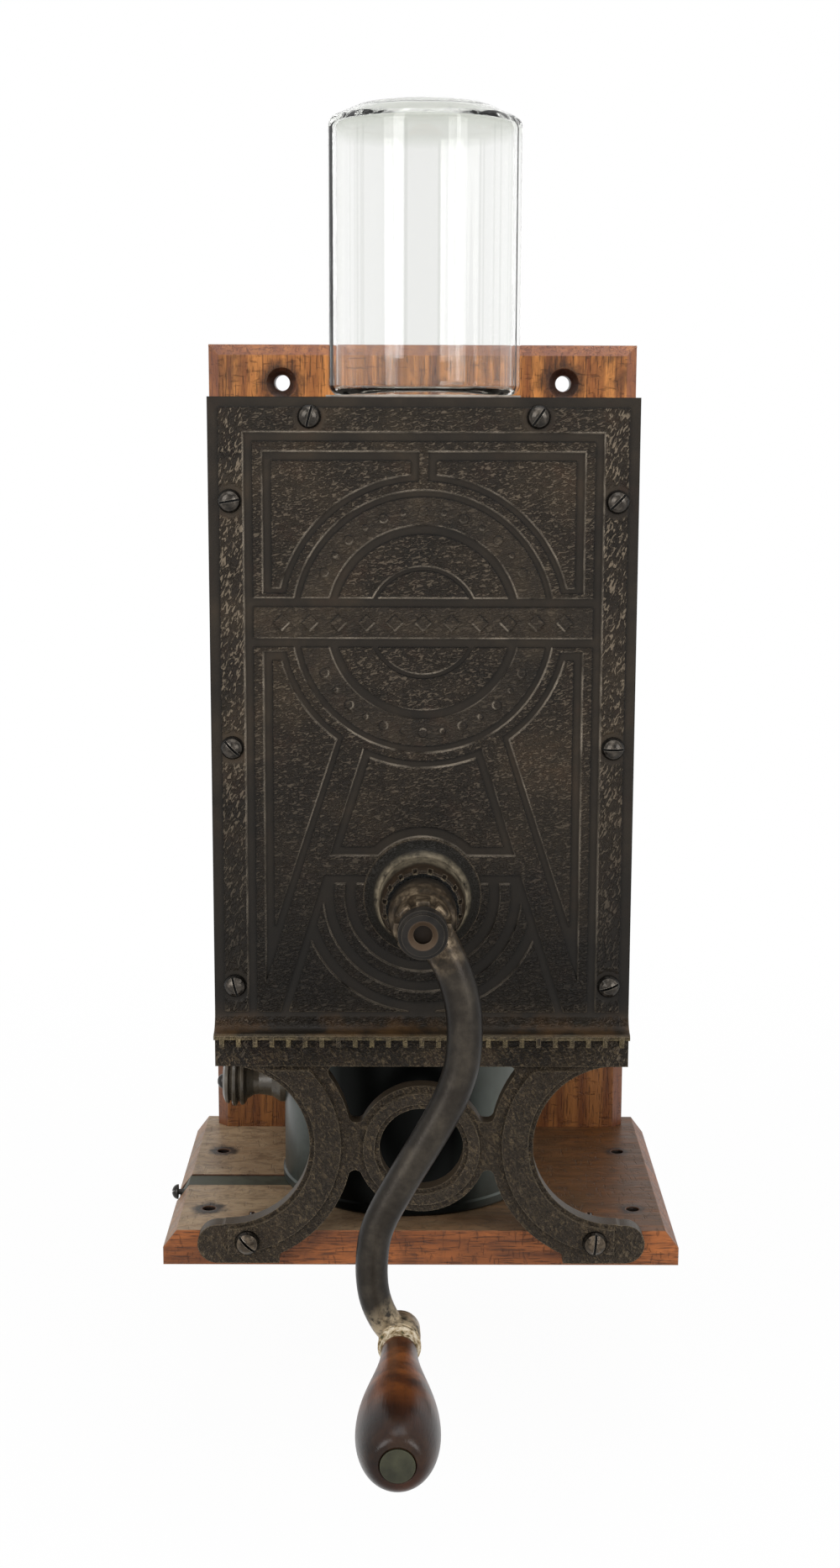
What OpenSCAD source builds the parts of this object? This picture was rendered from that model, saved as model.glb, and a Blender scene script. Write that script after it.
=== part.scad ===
// Wall coffee mill: glass jar over a wooden case with a cast-iron front,
// hung on an oak board, with a tin cup on the base board.
// Origin: middle of the two hanging holes, on the wall. +X right, +Y into the wall, +Z up.

/* [Back board] */
// Width of the back board
board_w = 204; // [190:1:222]
// Thickness of the back board
board_t = 16; // [13:1:19]
// Height of the board above its hanging holes
board_above = 18; // [14:1:30]
// Distance between the two hanging holes
hang_pitch = 134; // [110:1:150]
// Diameter of a hanging hole
hang_d = 7.5; // [5:0.5:9]
// Chamfer round the board's front edges
board_bevel = 5; // [2:0.5:6]

/* [Base board] */
// Width of the base board over its bevels
base_w = 228; // [220:1:250]
// Depth of the base board from the wall
base_d = 154; // [150:1:164]
// Thickness of the base board
base_t = 16; // [14:1:20]
// Width of the bevel on each end of the base board
end_bevel_w = 6; // [4:1:9]
// Height of the bevel on each end of the base board
end_bevel_h = 8; // [5:1:11]
// Distance between the base holes across the board
foot_pitch_x = 192; // [186:1:198]
// Distance between the base holes front to back
foot_pitch_y = 76; // [60:1:90]
// Distance of the middle of the base holes from the wall
foot_mid_y = 90; // [80:1:96]
// Diameter of a base hole
foot_d = 6; // [4:0.5:8]

/* [Case] */
// Overlap of the front plate past the case on each side
plate_lap = 1; // [0.5:0.5:3]
// Thickness of a case side
side_t = 16; // [14:1:18]
// Thickness of the case top
top_t = 14; // [11:1:17]
// Thickness of the case floor
floor_t = 8; // [6:1:11]
// Height of the case
case_h = 275; // [270:1:280]
// Gap from the top of the case up to the top edge of the front plate
case_drop = 1; // [0.5:0.5:2]

/* [Front plate] */
// Width of the front plate
plate_w = 178; // [177:1:190]
// Overlap of the front plate past the foot of the case
foot_lap = 8; // [6:1:12]
// Thickness of the front plate in its sunk channels
plate_t = 6.5; // [5:0.5:8]
// Distance of the top edge of the front plate below the hanging holes
plate_drop = 7; // [5:1:9]
// Height of the raised pattern
relief_h = 1.2; // [0.6:0.1:1.8]
// Smooth margin outside the border band
margin_w = 4.5; // [3:0.5:6]
// Width of the border band
band_w = 10; // [9:0.5:11]
// Width of a sunk channel
channel_w = 3.8; // [2.5:0.1:4.5]
// Width of the narrow strip round the panels
strip_w = 4; // [2.5:0.5:5]
// Height of the foot of the pattern above the foot of the plate
relief_rise = 24; // [22:1:27]
// Distance of the medallion's middle below the top edge of the plate
ring_t = 92.5; // [90:0.5:95]
// Outer radius of the medallion's ring
ring_r = 52; // [50:0.5:54]
// Width of the medallion's ring
ring_w = 11.5; // [9:0.5:13]
// Height of the beads and lozenges on the ring and the bar
stud_h = 0.6; // [0.4:0.1:1]
// Side of a lozenge on the bar
lozenge_w = 4.8; // [3:0.2:6]
// Radius of a large bead on the ring
bead_r = 1.8; // [1.2:0.1:2.4]
// Height of the bar across the medallion
bar_h = 13; // [11:0.5:15]
// Width of a leg of the pattern
brace_w = 10; // [8:0.5:12]
// Sideways run of a leg of the pattern for each millimetre down
brace_run = 0.313; // [0.29:0.005:0.33]

/* [Ledge and bracket] */
// Height of the bracket from the base board up to the foot of the plate
bracket_h = 78; // [76:1:82]
// Projection of the ledge in front of the plate
ledge_out = 8; // [6:0.5:10]
// Number of dentils under the ledge
dentils = 25; // [15:1:29]
// Width of one dentil
dentil_w = 2; // [1.4:0.2:3]
// Thickness of the skirt below the ledge
skirt_t = 9; // [8:0.5:10]
// Thickness of the bracket legs
leg_t = 8; // [6:0.5:9]
// Distance of the hollow outer curve of a leg from the middle of the mill
leg_x = 84.5; // [82:0.5:87]
// Radius of the hollow outer curve of a leg
leg_in_r = 36; // [34:0.5:37]
// Radius of the inner curve of a leg
leg_out_r = 54.5; // [53:0.5:56]
// Distance of the leg's and the ring's middles below the plate
leg_drop = 36; // [35:0.5:37]
// Outer radius of the bracket's ring
eye_r = 28.5; // [26:0.5:30]
// Radius of the hole in the bracket's ring
eye_hole_r = 18.3; // [15:0.5:20]
// Height of the webs between the ring and the legs
web_h = 21; // [16:1:24]
// Outer end of a foot, from the middle of the mill
foot_end = 98; // [96:1:100]
// Height of a foot
foot_h = 17.5; // [16:0.5:18]
// Length of the straight part of a foot
foot_l = 27; // [24:1:29]
// Radius in the corners of the bracket
corner_r = 3; // [1:0.5:4]
// Distance of a foot's screw from the middle of the mill
foot_screw_x = 76; // [72:1:80]

/* [Shaft and boss] */
// Height of the shaft above the foot of the case
shaft_rise = 67; // [65:0.5:69]
// Diameter of the shaft
shaft_d = 12; // [10:0.5:13]
// Running clearance of the shaft in its bearings, on the radius
run_fit = 0.05; // [0.02:0.01:0.09]
// Projection of the boss in front of the plate
boss_h = 39; // [36:1:42]
// Radius of the boss at the plate
boss_r = 22; // [20:0.5:23]
// Radius of the boss behind its shoulder
boss_side_r = 18.6; // [17.6:0.2:21]
// Radius of the boss at its rim
boss_rim_r = 15.4; // [15:0.2:17]
// Length of the boss's round shoulder
boss_shoulder = 28; // [10:1:32]
// Wall of the bearing bushes
bush_wall = 2; // [1.5:0.5:3]
// Number of notches in the rim of the boss
boss_notches = 16; // [8:1:20]

/* [Crank] */
// Height of the crank's hub along the shaft
hub_h = 20; // [18:1:23]
// Radius of the crank's hub at the boss
hub_r = 14.3; // [13:0.1:15]
// Diameter of the crank bar at the hub
arm_d1 = 15.5; // [13:0.5:16]
// Diameter of the crank bar at the handle
arm_d2 = 12.5; // [11:0.5:14]
// Diameter of the eye at the end of the crank bar
arm_eye_d = 17; // [15:0.5:20]
// Length of the eye at the end of the crank bar
arm_eye_h = 14; // [12:1:18]
// Diameter of the regulating nut
nut_d = 20; // [18:0.5:22]
// Height of the regulating nut
nut_h = 9; // [8:0.5:12]
// Depth of the shaft's end behind the face of the regulating nut
nut_hollow = 6; // [4:0.5:7]
// Rise of the regulating nut's thread in one turn
nut_pitch = 1.2; // [1:0.1:1.5]

/* [Handle] */
// Length of the wooden grip
grip_h = 94; // [86:1:100]
// Largest diameter of the wooden grip
grip_d = 32; // [28:1:36]
// Diameter of the grip's neck
neck_d = 14.5; // [13:0.5:16]
// Diameter of the rivet's head
rivet_head_d = 13; // [11:0.5:14]
// Diameter of the rivet's stem
rivet_d = 8; // [6:0.5:9]
// Height of the ferrule on the grip's neck
ferrule_h = 8; // [6:1:11]

/* [Burrs] */
// Outer radius of the fixed ring burr
burr_r = 31; // [29:0.5:32]
// Length of the ring burr along the shaft
burr_h = 24; // [20:1:26]
// Gap between the burrs' teeth
burr_gap = 1.2; // [1:0.1:2]
// Number of teeth on the cone burr
cone_teeth = 14; // [10:1:18]
// Number of teeth on the ring burr
ring_teeth = 18; // [12:1:24]
// Wall of the burr shell
shell_wall = 5; // [4:0.5:6]
// Wall of the inlet on top of the burr shell
inlet_wall = 3; // [2:0.5:4]

/* [Hopper and jar] */
// Distance of the jar's middle from the wall
jar_y = 91; // [88:1:94]
// Radius of the jar over its corners
jar_r = 43.2; // [41:0.2:46]
// Height of the jar's body above its seat
jar_h = 121; // [100:1:150]
// Turn of the jar's panels about its axis
jar_turn = 13.6; // [0:0.1:30]
// Thickness of the glass
glass_t = 3.2; // [2.4:0.2:4.4]
// Radius of the jar's neck
neck_r = 31; // [28:0.5:34]
// Height of the jar's neck
neck_h = 15; // [12:1:18]
// Radial clearance of the jar's neck in its collar
neck_fit = 0.08; // [0.04:0.01:0.1]
// Thickness of the hopper's sheet iron
sheet_t = 1.2; // [1:0.1:2]
// Inner radius of the hopper's spout
spout_r = 15; // [13:0.5:16]

/* [Cup] */
// Outer radius of the cup
cup_r = 58; // [54:0.5:58]
// Height of the cup
cup_h = 78; // [70:1:80]
// Thickness of the cup's tinplate
cup_t = 1; // [0.8:0.1:1.5]
// Distance of the cup's middle from the wall
cup_y = 80; // [78:0.5:82]
// Sideways place of the cup's middle
cup_x = -6; // [-8:0.5:0]
// Height of the knob's middle above the base board
knob_z = 44.5; // [36:0.5:50]
// Length of the cup's knob
knob_h = 29; // [24:1:32]
// Diameter of the knob's ribs
knob_d = 23; // [18:0.5:26]
// Clearance under the cup
cup_fit = 0.3; // [0.2:0.1:0.5]

/* [Spring strip] */
// Width of the flat spring
strip_b = 12; // [9:0.5:15]
// Thickness of the flat spring
strip_t = 1.4; // [1:0.1:2]
// Length of the flat spring from the end of the base board
strip_l = 54; // [40:1:66]
// Distance of the flat spring's middle from the wall
strip_y = 91.5; // [84:0.5:97]
// Depth of the spring's upper face below the base board's top
strip_sunk = 0.4; // [0.3:0.1:1]

/* [Screws] */
// Diameter of the face screws' heads
head_d = 10; // [8:0.5:11]
// Diameter of the face screws' shanks
shank_d = 4.4; // [3.5:0.1:5]
// Length of the face screws in the wood
grip_in = 22; // [16:1:28]
// Diameter of the foot screws' heads
foot_head_d = 11; // [9:0.5:12]
// Diameter of the heads of the screws that join the boards
board_screw_d = 8; // [6:0.5:9]
// Diameter of the shanks of the screws that join the boards
board_shank_d = 4; // [3:0.1:5]
// Length of the screws through the back board
back_screw_l = 44; // [36:1:50]
// Length of the screws through the base board
base_screw_l = 40; // [32:1:46]
// Diameter of the heads of the case top's screws
top_screw_d = 7; // [5.5:0.5:8]
// Diameter of the shanks of the case top's screws
top_shank_d = 3.6; // [3:0.1:4]
// Length of the case top's screws
top_screw_l = 34; // [26:1:38]
// Diameter of the floor's nails
nail_d = 2.4; // [1.8:0.1:3]
// Length of the floor's nails
nail_l = 30; // [20:1:34]
// Depth of a pilot hole past its screw's point
pilot_room = 6; // [0:1:8]
// Clearance of a screw in its hole in the iron, on the radius
hole_fit = 0.25; // [0.1:0.05:0.4]

/* [Hidden] */
$fn = 64;
eps = 0.01;

plate_z = -plate_drop;
case_z = plate_z - case_drop;
case_foot = case_z - case_h;
plate_foot = case_foot - foot_lap;
plate_h = plate_z - plate_foot;
base_z = plate_foot - bracket_h;
field_y = -base_d - plate_t;
face_y = field_y - relief_h;
shaft_z = case_foot + shaft_rise;
shaft_t = plate_z - shaft_z;
relief_end = plate_h - relief_rise;
shaft_r = shaft_d / 2;
case_w = plate_w - 2 * plate_lap;
inner_w = case_w - 2 * side_t;
case_d = base_d - board_t;
face_screw_x = (case_w - side_t) / 2;
top_screw_x = 47;
face_screw_t = [42.4, relief_end / 2 + 15.3, relief_end - 11.6];
top_screw_t = case_drop + top_t / 2;
foot_z = base_z - base_t + 4;
foot_screw_z = foot_z + 10;
leg_z = plate_foot - leg_drop;
eye_mid_z = leg_z - 1.5;

boss_y = field_y - boss_h;
washer_t = 2.2;
hub_gap = 0.8;
hub_y = boss_y - washer_t - hub_gap;
nut_y = hub_y - hub_h;
thread_r = shaft_r - 1.5;
bush_r = shaft_r + run_fit + bush_wall;
// Middle line of the crank bar from the shaft: sideways, forwards of the hub's middle, upwards
arm_route = [
    [3, 0, -1], [8, 0.5, -10], [13.5, 1.5, -22], [16.8, 2.8, -37], [16.4, 4.4, -55], [11.5, 6, -71],
    [2.6, 7.6, -87.5], [-8.5, 9.2, -106], [-17.8, 10.5, -124], [-20.4, 11.3, -139], [-19.4, 11.8, -153],
    [-15, 12, -164], [-9, 12, -171]
];
eye = arm_route[len(arm_route) - 1];
eye_x = eye[0];
eye_z = shaft_z + eye[2];
arm_y = hub_y - 9;
eye_y = arm_y - eye[1];
grip_y = eye_y - arm_eye_h / 2 - hub_gap;
rivet_r = rivet_d / 2;
rivet_sink = 4;

key_w = 3.4;
key_h = 4.4;
key_z = shaft_z + shaft_r - key_h / 2;
key_l = hub_h - 4;
key_fit = 0.15;
slide_room = nut_pitch / 2 + 0.2;

ring_r1 = burr_r - 9.5;
ring_r2 = burr_r - 3;
chamber = 8;
ring_y = -base_d + chamber;
worm_y = ring_y + burr_h;
shell_r = burr_r + shell_wall;
inlet_r = spout_r + sheet_t + 0.4;
bridge_y = -jar_y + inlet_r + inlet_wall + 1.4;
shell_h = base_d + bridge_y;
bridge_t = 6;
tail_y = bridge_y + bridge_t + 10;
chute_w = 30;
chute_y = 118;
chute_fit = 0.2;
chute_z = shaft_z - shell_r - 2.2;
spout_z = shaft_z + 47;

seat_z = case_z + 2;
mouth_z = seat_z - neck_h;
collar_r = neck_r + neck_fit;
cup_foot = base_z + cup_fit;
knob_x = cup_x - cup_r - knob_h;

// Places children in front of y, with their drawing upright and facing the viewer
module facing(y) translate([0, y, 0]) rotate([90, 0, 0]) children();
// Turns an upright revolved form to lie along the shaft, its foot at y and its top towards the viewer
module along(x, y, z) translate([x, y, z]) rotate([90, 0, 0]) children();
module both_sides() { children(); mirror([1, 0, 0]) children(); }

// Round-head slotted screw along -Y: its head stands in front of the origin and its shank runs back
head_rise = 0.42;
slot_w = 0.1;
module face_screw(d, shank, length, turn) {
    rotate([90, 0, 0]) difference() {
        rotate_extrude() polygon(concat(
            [[0, -length], [shank / 2, -length], [shank / 2, 0]],
            [for (a = [0:18:90]) [d / 2 * cos(a), head_rise * d * sin(a)]]
        ));
        rotate([0, 0, turn]) translate([-d, -slot_w * d / 2, head_rise * d / 2])
            cube([2 * d, slot_w * d, d]);
    }
}
// Flat-head screw with its head's face at the origin and its point towards +Z
module sunk_screw(d, shank, length) {
    difference() {
        union() {
            cylinder(d1 = d, d2 = shank, h = (d - shank) / 2);
            cylinder(d = shank, h = length);
        }
        translate([-d, -slot_w * d / 2, -eps]) cube([2 * d, slot_w * d, slot_w * d]);
    }
}
module sunk_hole(d, shank, length) {
    translate([0, 0, -eps]) cylinder(d1 = d + 2 * eps, d2 = shank, h = (d - shank) / 2 + eps);
    cylinder(d = shank, h = length);
}

// Places of the fasteners
module at_face_screws() {
    for (s = [-1, 1]) {
        translate([s * top_screw_x, 0, plate_z - top_screw_t]) children();
        for (t = face_screw_t) translate([s * face_screw_x, 0, plate_z - t]) children();
    }
}
module at_foot_screws() for (s = [-1, 1]) translate([s * foot_screw_x, 0, foot_screw_z]) children();
module at_back_screws() {
    for (s = [-1, 1], z = [case_z - 40, (case_z + case_foot) / 2, case_foot + 30])
        translate([s * face_screw_x, 0, z]) rotate([90, 0, 0]) children();
}
module at_base_screws() {
    for (i = [-1, 0, 1]) translate([i * (board_w / 2 - 32), -board_t / 2, base_z - base_t]) children();
}
module at_top_screws() {
    for (s = [-1, 1], y = [board_t + 22, base_d - 22])
        translate([s * face_screw_x, -y, case_z]) mirror([0, 0, 1]) children();
}
module at_floor_nails() {
    for (s = [-1, 1], y = [board_t + 30, base_d - 30])
        translate([s * case_w / 2, -y, case_foot + floor_t / 2]) rotate([0, -90 * s, 0]) children();
}
module at_funnel_screws() {
    for (a = [45:90:315]) translate([0, -jar_y, 0]) rotate([0, 0, a])
        translate([neck_r + 16, 0, case_z - top_t - sheet_t]) children();
}
module at_collar_screws() {
    for (a = [90:120:330]) translate([0, -jar_y, 0]) rotate([0, 0, a])
        translate([neck_r + 7, 0, seat_z]) mirror([0, 0, 1]) children();
}
module at_shell_screws() {
    for (a = [30:120:270]) translate([0, -base_d, shaft_z]) rotate([0, a, 0])
        translate([shell_r + 6, 0, 0]) children();
}
module at_bridge_screws() {
    for (a = [90:120:330]) translate([0, bridge_y, shaft_z]) rotate([0, a, 0])
        translate([burr_r + shell_wall / 2, 0, 0]) children();
}

module back_board() {
    board_h = board_above - base_z;
    color("peru") difference() {
        translate([0, 0, base_z]) rotate([90, 0, 0]) translate([-board_w / 2, 0, 0])
            cube([board_w, board_h, board_t]);
        both_sides() translate([board_w / 2, -board_t, base_z - 1]) rotate([0, 0, 45])
            cube([board_bevel * sqrt(2), board_bevel * sqrt(2), 2 * board_h], center = true);
        translate([0, -board_t, board_above]) rotate([45, 0, 0])
            cube([2 * board_w, board_bevel * sqrt(2), board_bevel * sqrt(2)], center = true);
        both_sides() along(hang_pitch / 2, 1, 0) cylinder(d = hang_d, h = board_t + 2);
        both_sides() along(hang_pitch / 2, -board_t + 3.5, 0)
            cylinder(d1 = hang_d, d2 = hang_d + 7.2, h = 3.6);
        at_back_screws() sunk_hole(board_screw_d, board_shank_d, back_screw_l + pilot_room);
        at_base_screws() sunk_hole(board_screw_d, board_shank_d, base_screw_l + pilot_room);
    }
}

// Outline of the base board, seen from the front
module base_outline() polygon([
    [-base_w / 2, base_z - base_t], [base_w / 2, base_z - base_t],
    [base_w / 2, base_z - end_bevel_h], [base_w / 2 - end_bevel_w, base_z],
    [-base_w / 2 + end_bevel_w, base_z], [-base_w / 2, base_z - end_bevel_h]
]);
module base_board() {
    color("sienna") difference() {
        facing(0) linear_extrude(base_d) base_outline();
        for (sx = [-1, 1], sy = [-1, 1])
            translate([sx * foot_pitch_x / 2, -foot_mid_y + sy * foot_pitch_y / 2, base_z - base_t - 1])
                cylinder(d = foot_d, h = base_t + 2);
        // groove for the flat spring, with a gap in front of it
        translate([0, -strip_y + strip_b / 2 + 1, 0]) facing(0) linear_extrude(strip_b + 2) union() {
            polygon([
                [-base_w / 2 + strip_l + 1, base_z + 1],
                [-base_w / 2 + strip_l + 1, base_z - strip_sunk - strip_t],
                [-base_w / 2 + end_bevel_w, base_z - strip_sunk - strip_t],
                [-base_w / 2 + strip_t + strip_sunk + 0.4, base_z - end_bevel_h - 1],
                [-base_w / 2 + strip_t + strip_sunk + 0.4, base_z - base_t - 1],
                [-base_w / 2 - 1, base_z - base_t - 1], [-base_w / 2 - 1, base_z + 1]
            ]);
        }
        at_base_screws() sunk_hole(board_screw_d, board_shank_d, base_screw_l + pilot_room);
        at_foot_screws() along(0, -base_d + 22, 0) cylinder(d = shank_d, h = 30);
        translate([-base_w / 2, -strip_y, base_z - end_bevel_h / 2 - 2]) rotate([0, 90, 0])
            translate([0, 0, -10]) cylinder(d = 2.6, h = 24);
    }
}

module case_side(s) {
    color("saddlebrown") difference() {
        translate([s > 0 ? inner_w / 2 : -case_w / 2, -base_d, case_foot])
            cube([side_t, case_d, case_h - top_t]);
        at_face_screws() along(0, -base_d + grip_in, 0) cylinder(d = shank_d, h = grip_in + 1);
        at_back_screws() sunk_hole(board_screw_d, board_shank_d, back_screw_l + pilot_room);
        at_top_screws() sunk_hole(top_screw_d, top_shank_d, top_screw_l + pilot_room);
        at_floor_nails() cylinder(d = nail_d, h = nail_l);
    }
}
module case_left_side() case_side(-1);
module case_right_side() case_side(1);

module case_top() {
    color("peru") difference() {
        translate([-case_w / 2, -base_d, case_z - top_t]) cube([case_w, case_d, top_t]);
        translate([0, -jar_y, case_z - top_t - 1])
            cylinder(r = collar_r + 2, h = top_t + 2);
        at_face_screws() along(0, -base_d + grip_in, 0) cylinder(d = shank_d, h = grip_in + 1);
        at_top_screws() sunk_hole(top_screw_d, top_shank_d, top_screw_l + pilot_room);
        at_collar_screws() cylinder(d = 2.6, h = 12);
        at_funnel_screws() cylinder(d = 2.6, h = 10);
    }
}

module case_floor() {
    color("saddlebrown") difference() {
        translate([-inner_w / 2, -base_d, case_foot]) cube([inner_w, case_d, floor_t]);
        translate([-chute_w / 2, -chute_y - chute_w / 2, case_foot - 1])
            cube([chute_w, chute_w, floor_t + 2]);
        at_floor_nails() cylinder(d = nail_d, h = nail_l);
    }
}

band_out = plate_w / 2 - margin_w;
band_in = band_out - band_w;
strip_out = band_in - channel_w;
strip_in = strip_out - strip_w;
panel_out = strip_in - channel_w;
ring_gap = 2.8;
arc_in = ring_r + ring_gap;
arc_out = arc_in + strip_w - 0.4;
panel_r = arc_out + ring_gap;
top_band = margin_w - 0.3;
top_strip = top_band + band_w + channel_w;
top_sunk = top_strip + strip_w;
bar_t1 = ring_t - bar_h / 2;
bar_t2 = ring_t + bar_h / 2;
brace_t = 145;
brace_x = 24.8;
cross_t1 = shaft_t - 17.5;
cross_t2 = shaft_t - 9;
arc_step = 9.1;
arc_w = 4.5;

// Sideways place of a leg's inner edge at a distance t below the plate's top edge
function brace(t) = brace_x + brace_run * (t - brace_t);
// Distance t at which a leg's edge, moved outwards by dx, reaches x
function brace_at(x, dx) = brace_t + (x - dx - brace_x) / brace_run;
// Rectangle from x1 to x2, between distances t1 and t2 below the plate's top edge
module patch(x1, x2, t1, t2) translate([x1, -t2]) square([x2 - x1, t2 - t1]);
module disc(r, t) translate([0, -t]) circle(r, $fn = 96);
module hoop(r1, r2, t) difference() { disc(r2, t); disc(r1, t); }
module brace_field(dx, t1, t2) polygon([
    [-brace(t1) + dx, -t1], [brace(t1) - dx, -t1], [brace(t2) - dx, -t2], [-brace(t2) + dx, -t2]
]);

// Sunk parts of the pattern
module sunk_2d() {
    difference() {
        patch(-band_in, band_in, top_band + band_w, relief_end + 1);
        patch(-strip_out, strip_out, top_strip, relief_end + 1);
    }
    difference() {
        patch(-strip_in, strip_in, top_sunk, bar_t1 - channel_w - 1.8);
        disc(arc_out, ring_t);
        patch(-1.8, 1.8, 0, ring_t);
    }
    for (t = [bar_t1 - channel_w, bar_t2]) patch(-strip_out, strip_out, t, t + channel_w);
    difference() {
        union() {
            hoop(ring_r, arc_in, ring_t);
            hoop(ring_r - ring_w - channel_w, ring_r - ring_w, ring_t);
            hoop(21.5, 23.5, ring_t);
        }
        patch(-strip_out, strip_out, bar_t1 - channel_w, bar_t2 + channel_w);
    }
    both_sides() difference() {
        polygon([
            [-strip_in, -bar_t2 - channel_w - 1.8],
            [-brace(bar_t2 + channel_w + 1.8) - brace_w, -bar_t2 - channel_w - 1.8],
            [-strip_in, -brace_at(strip_in, brace_w)]
        ]);
        disc(arc_out, ring_t);
    }
    difference() {
        brace_field(0, brace_t - 10, cross_t1);
        disc(arc_out, ring_t);
        disc(boss_r + 3.7, shaft_t);
    }
    difference() {
        brace_field(0, cross_t2, relief_end + 1);
        disc(boss_r + 2.5, shaft_t);
    }
}
// Raised panels and rings that stand inside the sunk parts
module panels_2d() {
    both_sides() difference() {
        patch(-panel_out, -5.5, top_sunk + channel_w, bar_t1 - channel_w - 4);
        disc(panel_r, ring_t);
    }
    both_sides() difference() {
        polygon([
            [-panel_out, -bar_t2 - 2 * channel_w - 1.8],
            [-brace(bar_t2 + channel_w) - brace_w - channel_w, -bar_t2 - 2 * channel_w - 1.8],
            [-panel_out, -brace_at(panel_out, brace_w + channel_w)]
        ]);
        disc(panel_r, ring_t);
    }
    difference() {
        brace_field(channel_w, brace_t, cross_t1 - channel_w);
        disc(panel_r, ring_t);
        disc(boss_r + 8, shaft_t);
    }
    intersection() {
        brace_field(channel_w, cross_t2 + channel_w, relief_end);
        union() {
            hoop(boss_r + 2, boss_r + 6.5, shaft_t);
            for (i = [1, 2])
                hoop(boss_r + 2 + i * arc_step, boss_r + 2 + i * arc_step + arc_w, shaft_t);
            difference() {
                patch(-plate_w, plate_w, 0, relief_end);
                disc(boss_r + 2 + 3 * arc_step, shaft_t);
            }
        }
    }
}
module relief_2d() {
    difference() {
        patch(-band_out, band_out, top_band, relief_end);
        sunk_2d();
    }
    panels_2d();
}

// Row of lozenges along the bar, and rows of large and small beads round the ring
module studs_2d() {
    for (i = [-5:5]) translate([i * 11.8, -ring_t]) rotate(45) square(lozenge_w, center = true);
    for (turn = [0, 180], i = [-6:6]) translate([0, -ring_t]) rotate(turn + i * 10.5)
        translate([0, ring_r - ring_w / 2]) circle(i % 2 == 0 ? bead_r : bead_r * 0.6, $fn = 24);
}

lip_z = plate_z - relief_end - ledge_out - 0.8;
lip_h = 1.6;

// Section of the plate's foot: cove, ledge, dentil band and skirt
function ledge_section() = concat(
    [[0, -relief_end + 6], [plate_t, -relief_end + 6]],
    [for (a = [0:15:90]) [plate_t + ledge_out * (1 - cos(a)), -relief_end - ledge_out * sin(a)]],
    [
        [plate_t + ledge_out + 1, lip_z - plate_z],
        [plate_t + ledge_out + 1, lip_z - plate_z - lip_h],
        [skirt_t, lip_z - plate_z - lip_h],
        [skirt_t, -plate_h], [0, -plate_h]
    ]
);

module leg_2d() {
    intersection() {
        translate([-leg_x, leg_z]) difference() {
            circle(leg_out_r, $fn = 96);
            circle(leg_in_r, $fn = 96);
        }
        translate([-leg_x, foot_z]) square([leg_out_r + 1, plate_foot - foot_z + 1]);
    }
    // foot with a round outer end, merged into the leg
    difference() {
        union() {
            translate([-foot_end + foot_h / 2, foot_z + foot_h / 2]) circle(foot_h / 2);
            translate([-foot_end + foot_h / 2, foot_z]) square([foot_l, foot_h]);
        }
        translate([-leg_x, leg_z]) circle(leg_in_r, $fn = 96);
    }
}
// Legs, ring and webs hanging from the skirt, with rounded corners between them
module bracket_2d() {
    difference() {
        offset(r = -corner_r) offset(delta = corner_r) {
            both_sides() leg_2d();
            translate([0, eye_mid_z]) circle(eye_r, $fn = 96);
            translate([-leg_x + leg_out_r - 3, leg_z - web_h / 2])
                square([2 * (leg_x - leg_out_r + 3), web_h]);
            translate([-plate_w / 2, plate_foot]) square([plate_w, 2 * corner_r]);
        }
        translate([0, eye_mid_z]) circle(eye_hole_r, $fn = 96);
    }
}
module bracket_bands_2d() {
    both_sides() intersection() {
        translate([-leg_x, leg_z]) difference() {
            circle(leg_out_r - 5, $fn = 96);
            circle(leg_in_r + 2.2, $fn = 96);
        }
        translate([-leg_x, foot_z + 2]) square([leg_out_r, plate_foot - foot_z - 4]);
    }
    translate([0, eye_mid_z]) difference() {
        circle(eye_r - 3.2, $fn = 96);
        circle(eye_hole_r + 2.2, $fn = 96);
    }
}

module boss() {
    base_h = 4;
    notch_w = 1.8;
    notch_l = 4;
    difference() {
        along(0, field_y, shaft_z) rotate_extrude() polygon(concat(
            [[0, -eps], [boss_r + 3, -eps], [boss_r + 3, 1.5], [boss_r, base_h]],
            [for (a = [0:15:90]) [boss_rim_r + (boss_side_r - boss_rim_r) * cos(a),
                boss_h - boss_shoulder * (1 - sin(a))]],
            [[0, boss_h]]
        ));
        for (i = [0:boss_notches - 1]) translate([0, boss_y, shaft_z])
            rotate([0, (i + 0.5) * 360 / boss_notches, 0]) translate([boss_rim_r - 0.3, -1, -notch_w / 2])
                cube([boss_r, notch_l + 1, notch_w]);
    }
}

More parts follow.
